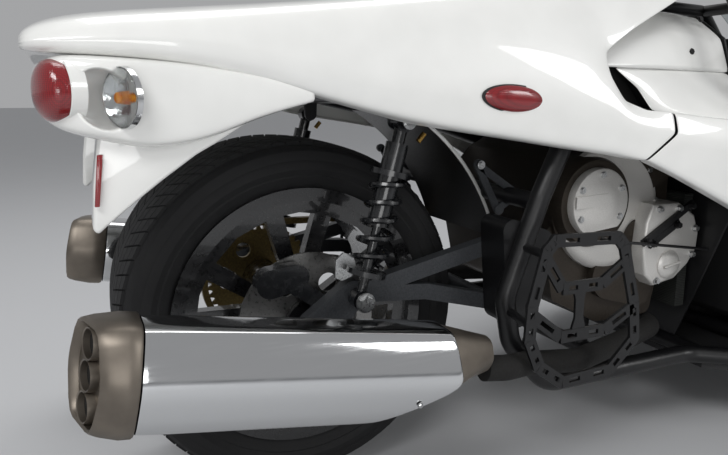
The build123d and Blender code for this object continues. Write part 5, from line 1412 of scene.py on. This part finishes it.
class CAR_OT_cockpit_fittings(Operator):
    """Fit the roof panel, door mirrors, gauges and the white strips of painted highlight along the guard's
    edge
    """

    bl_idname = "three_wheeler.cockpit_fittings"
    bl_label = "Cockpit fittings"

    def execute(self, context):
        low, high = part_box("roof_panel")
        bm = bmesh.new()
        corners = [(low.x, low.y), (high.x, low.y), (high.x, high.y), (low.x, high.y)]
        plate_from_outline(bm, [Vector((x, y, low.z)) for x, y in corners], high.z - low.z, (0, 0, 1))
        bmesh.ops.recalc_face_normals(bm, faces=bm.faces)
        upright = [e for e in bm.edges if abs(e.verts[0].co.z - e.verts[1].co.z) > 0.005]
        round_edges(bm, upright, ROOF_CORNER_R, 6)
        round_edges(bm, sharp_edges(bm, 50), 0.004, 3)
        add_piece("roof_panel_moulded", bm, "gelcoat_white", ["roof_panel"])

        cases, glasses = bmesh.new(), bmesh.new()
        for side in (1, -1):
            centre = on_side(side, MIRROR_PLACE, from_origin)
            made = bmesh.ops.create_cube(cases, size=1.0)["verts"]
            bmesh.ops.scale(cases, vec=MIRROR_SIZE, verts=made)
            for vert in made:
                if vert.co.y > 0:
                    vert.co.x *= MIRROR_TAPER[0]
                    vert.co.z *= MIRROR_TAPER[1]
            bmesh.ops.translate(cases, vec=centre, verts=made)
            edges = list({edge for vert in made for edge in vert.link_edges})
            round_edges(cases, edges, 0.014, 4)
            start, end = (on_side(side, place, from_origin) for place in STALK_ENDS)
            rod_between(cases, start, end, 0.008, 20)
            rod_between(cases, end - Vector((0, 0, 0.010)), end + Vector((0, 0, 0.012)), 0.013, 20)
            glass = bmesh.ops.create_grid(glasses, x_segments=1, y_segments=1, size=0.5)["verts"]
            turn = Matrix.Rotation(radians(90), 4, "X") @ Matrix.Diagonal(GLASS_SIZE)
            place = Matrix.Translation(centre - Vector((0, GLASS_BACK, 0)))
            bmesh.ops.transform(glasses, matrix=place @ turn, verts=glass)
        add_piece("door_mirror_cases", cases, "abs_black", ["mirrors"])
        add_piece("door_mirror_glasses", glasses, "lamp_reflector", recalc=False)

        rings, dials, ticks = bmesh.new(), bmesh.new(), bmesh.new()
        out, up = Vector(GAUGE_OUT).normalized(), Vector((1, 0, 0))
        across = out.cross(up)
        for x, radius in GAUGES:
            centre = from_origin(x, GAUGE_Y, GAUGE_Z)
            ring = [(-0.002, radius), (0.008, radius), (0.010, radius - 0.003), (0.006, radius - 0.004)]
            spin_profile(rings, ring, centre, out, up, 40)
            spin_profile(dials, [(0.003, radius - 0.003), (0.0032, 0.0)], centre, out, up, 40)
            # Angle, height over the dial, inner and outer end, radius: the marks and then the needle
            marks = [(angle, 0.0038, radius - 0.011, radius - 0.006, 0.0008) for angle in MARK_ANGLES]
            marks.append((NEEDLE_ANGLE, 0.0045, -0.006, radius - 0.013, 0.0010))
            for angle, lift, inner, outer, thick in marks:
                arm = up * sin(radians(angle)) - across * cos(radians(angle))
                foot = centre + out * lift
                rod_between(ticks, foot + arm * inner, foot + arm * outer, thick, 4)
        add_piece("gauge_rings", rings, "plated_steel")
        add_piece("gauge_dials", dials, "dull_black_soot_and_shade", recalc=False)
        add_piece("gauge_marks", ticks, "gelcoat_white")

        # White strips along the guard's edge: a painted highlight in the guard's own white
        strips = bmesh.new()
        for x in (GUARD_EDGE_X, -GUARD_EDGE_X):
            middle = REAR_HUB + Vector((x, GUARD_EDGE_R, 0))
            ring = [
                strips.verts.new(middle + STRIP_R * Vector((cos(k * pi / 4), sin(k * pi / 4), 0)))
                for k in range(8)
            ]
            edges = [strips.edges.new(pair) for pair in zip(ring, ring[1:] + ring[:1])]
            turn = Matrix.Rotation(STRIP_START, 3, "X")
            bmesh.ops.rotate(strips, verts=ring, cent=REAR_HUB, matrix=turn)
            bmesh.ops.spin(
                strips, geom=ring + edges, cent=REAR_HUB, axis=(1, 0, 0), angle=STRIP_SWEEP, steps=20
            )
        add_piece("guard_edge_painted_highlights", strips, "gelcoat_white")
        return {"FINISHED"}


SUSPENSION_BOLTS = [
    # x, y from the rear axle, z and width of each head
    (277, 66, 392, 0.026), (277, 147, 698, 0.018), (226, 327, 614, 0.012), (226, 423, 551, 0.012),
]
VALVE_ENDS = [(262, 172, 664), (262, 184, 678)]
LUG_X = 233
LUG_OUTLINE = [(26, 430), (40, 424), (58, 430), (66, 448), (60, 468), (42, 474), (28, 462)]
A_BRACKET_X = 214
A_BRACKET = [(327, 614), (423, 551), (377, 524)]


class CAR_OT_suspension_details(Operator):
    """Fit the bolts, pins and valve of the rear suspension"""

    bl_idname = "three_wheeler.suspension_details"
    bl_label = "Suspension details"

    def execute(self, context):
        bolts, valves, plates = bmesh.new(), bmesh.new(), bmesh.new()
        for side in (1, -1):
            for *place, width in SUSPENSION_BOLTS:
                bolt_head(bolts, on_side(side, place), (side, 0, 0), width, width * 0.45)
            rod_between(valves, *(on_side(side, place) for place in VALVE_ENDS), 0.005, 12)
            out = Vector((side, 0, 0))
            plate_from_outline(bolts, side_view(side * LUG_X, LUG_OUTLINE), 0.004, out)
            for ends in zip(A_BRACKET, A_BRACKET[1:] + A_BRACKET[:1]):
                start, end = side_view(side * A_BRACKET_X, ends)
                flat_bar(plates, start, end, out, 0.007, 0.006)
                rod_between(plates, start, start + out * 0.006, 0.010, 16)
        add_piece("suspension_bolts", bolts, "plated_steel")
        add_piece("damper_valves", valves, "brass")
        add_piece("engine_mount_brackets", plates, "powder_grey")
        return {"FINISHED"}


LAMPS = [
    # Name, place, aim, width, height, share of the key lamp's power
    ("key_lamp", (2.6, -3.4, 3.6), (0.2, -1.0, 0.4), 2.4, 1.2, 0.88),
    ("side_lamp", (3.6, 1.8, 2.4), (0.3, -0.6, 0.4), 1.6, 1.2, 0.5),
    ("low_lamp", (3.0, -2.2, 0.7), (0.3, -0.9, 0.45), 1.6, 0.6, 0.14),
    ("top_lamp", (-1.2, -0.6, 4.2), (0.0, -0.6, 0.4), 3.0, 2.0, 0.7),
]
# The camera solved from the rear rim and tyre in the photo
CAMERA_PLACE = (1286, -382, 745)
CAMERA_AIM = (-0.897, 0.396, -0.196)
CAMERA_LENS = 33.03


class CAR_OT_stage(Operator):
    """Lay the floor, hang the lamps and set the camera"""

    bl_idname = "three_wheeler.stage"
    bl_label = "Studio stage"

    def execute(self, context):
        stage = context.scene.three_wheeler_stage
        bm = bmesh.new()
        bmesh.ops.create_grid(bm, x_segments=1, y_segments=1, size=40.0)
        mesh = bpy.data.meshes.new("studio_floor")
        bm.to_mesh(mesh)
        bm.free()
        floor = bpy.data.objects.new("studio_floor", mesh)
        context.scene.collection.objects.link(floor)
        # Painted cove floor, rolled smooth
        paint, tree, shader = start_finish("painted_cove_floor", stage.floor_colour, 0.75)
        add_grain(tree, shader, 300.0, 0.0, (0.7, 0.8))
        mesh.materials.append(paint)

        world = bpy.data.worlds.new("studio_room")
        world.use_nodes = True
        context.scene.world = world
        room = world.node_tree.nodes["Background"]
        room.inputs["Color"].default_value = linear("#F1F2F4")
        room.inputs["Strength"].default_value = stage.room_level

        for name, place, aim, width, height, share in LAMPS:
            light = bpy.data.lights.new(name, "AREA")
            light.shape = "RECTANGLE"
            light.size, light.size_y, light.energy = width, height, share * stage.key_watts
            lamp = bpy.data.objects.new(name, light)
            lamp.location = place
            lamp.rotation_euler = (Vector(aim) - Vector(place)).to_track_quat("-Z", "Y").to_euler()
            context.scene.collection.objects.link(lamp)

        camera = bpy.data.cameras.new("photo_camera")
        camera.sensor_width, camera.lens, camera.clip_end = 36.0, CAMERA_LENS, 100.0
        eye = bpy.data.objects.new("photo_camera", camera)
        eye.location = from_rear(*CAMERA_PLACE)
        eye.rotation_euler = Vector(CAMERA_AIM).to_track_quat("-Z", "Y").to_euler()
        context.scene.collection.objects.link(eye)
        context.scene.camera = eye
        context.scene.view_settings.view_transform = "Standard"
        return {"FINISHED"}


class CAR_PT_panel(Panel):
    """Lists the car's makers in the sidebar"""

    bl_label = "Three-wheeler"
    bl_space_type = "VIEW_3D"
    bl_region_type = "UI"
    bl_category = "Three-wheeler"

    def draw(self, context):
        for group in (getattr(context.scene, name) for name in SETTINGS):
            for name in group.bl_rna.properties.keys():
                if name not in ("rna_type", "name"):
                    self.layout.prop(group, name)
        for maker in MAKERS:
            self.layout.operator(maker.bl_idname)


MAKERS = [
    CAR_OT_frame_finishes,
    CAR_OT_stage,
    CAR_OT_tail_cowl,
    CAR_OT_fairing,
    CAR_OT_side_sills,
    CAR_OT_rear_fenders,
    CAR_OT_rear_lamps,
    CAR_OT_tyres,
    CAR_OT_silencers,
    CAR_OT_engine_details,
    CAR_OT_pannier_racks,
    CAR_OT_seats,
    CAR_OT_nose,
    CAR_OT_cockpit_fittings,
    CAR_OT_suspension_details,
]
SETTINGS = {
    "three_wheeler_finishes": FinishSettings,
    "three_wheeler_stage": StageSettings,
    "three_wheeler_tyres": TyreSettings,
}
CLASSES = [*SETTINGS.values(), *MAKERS, CAR_PT_panel]


def register():
    for cls in CLASSES:
        bpy.utils.register_class(cls)
    for name, settings in SETTINGS.items():
        setattr(bpy.types.Scene, name, PointerProperty(type=settings))


def unregister():
    for name in SETTINGS:
        delattr(bpy.types.Scene, name)
    for cls in reversed(CLASSES):
        bpy.utils.unregister_class(cls)


def main():
    """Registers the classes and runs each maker."""
    register()
    for maker in MAKERS:
        group, name = maker.bl_idname.split(".")
        getattr(getattr(bpy.ops, group), name)()


if __name__ == "__main__":
    main()
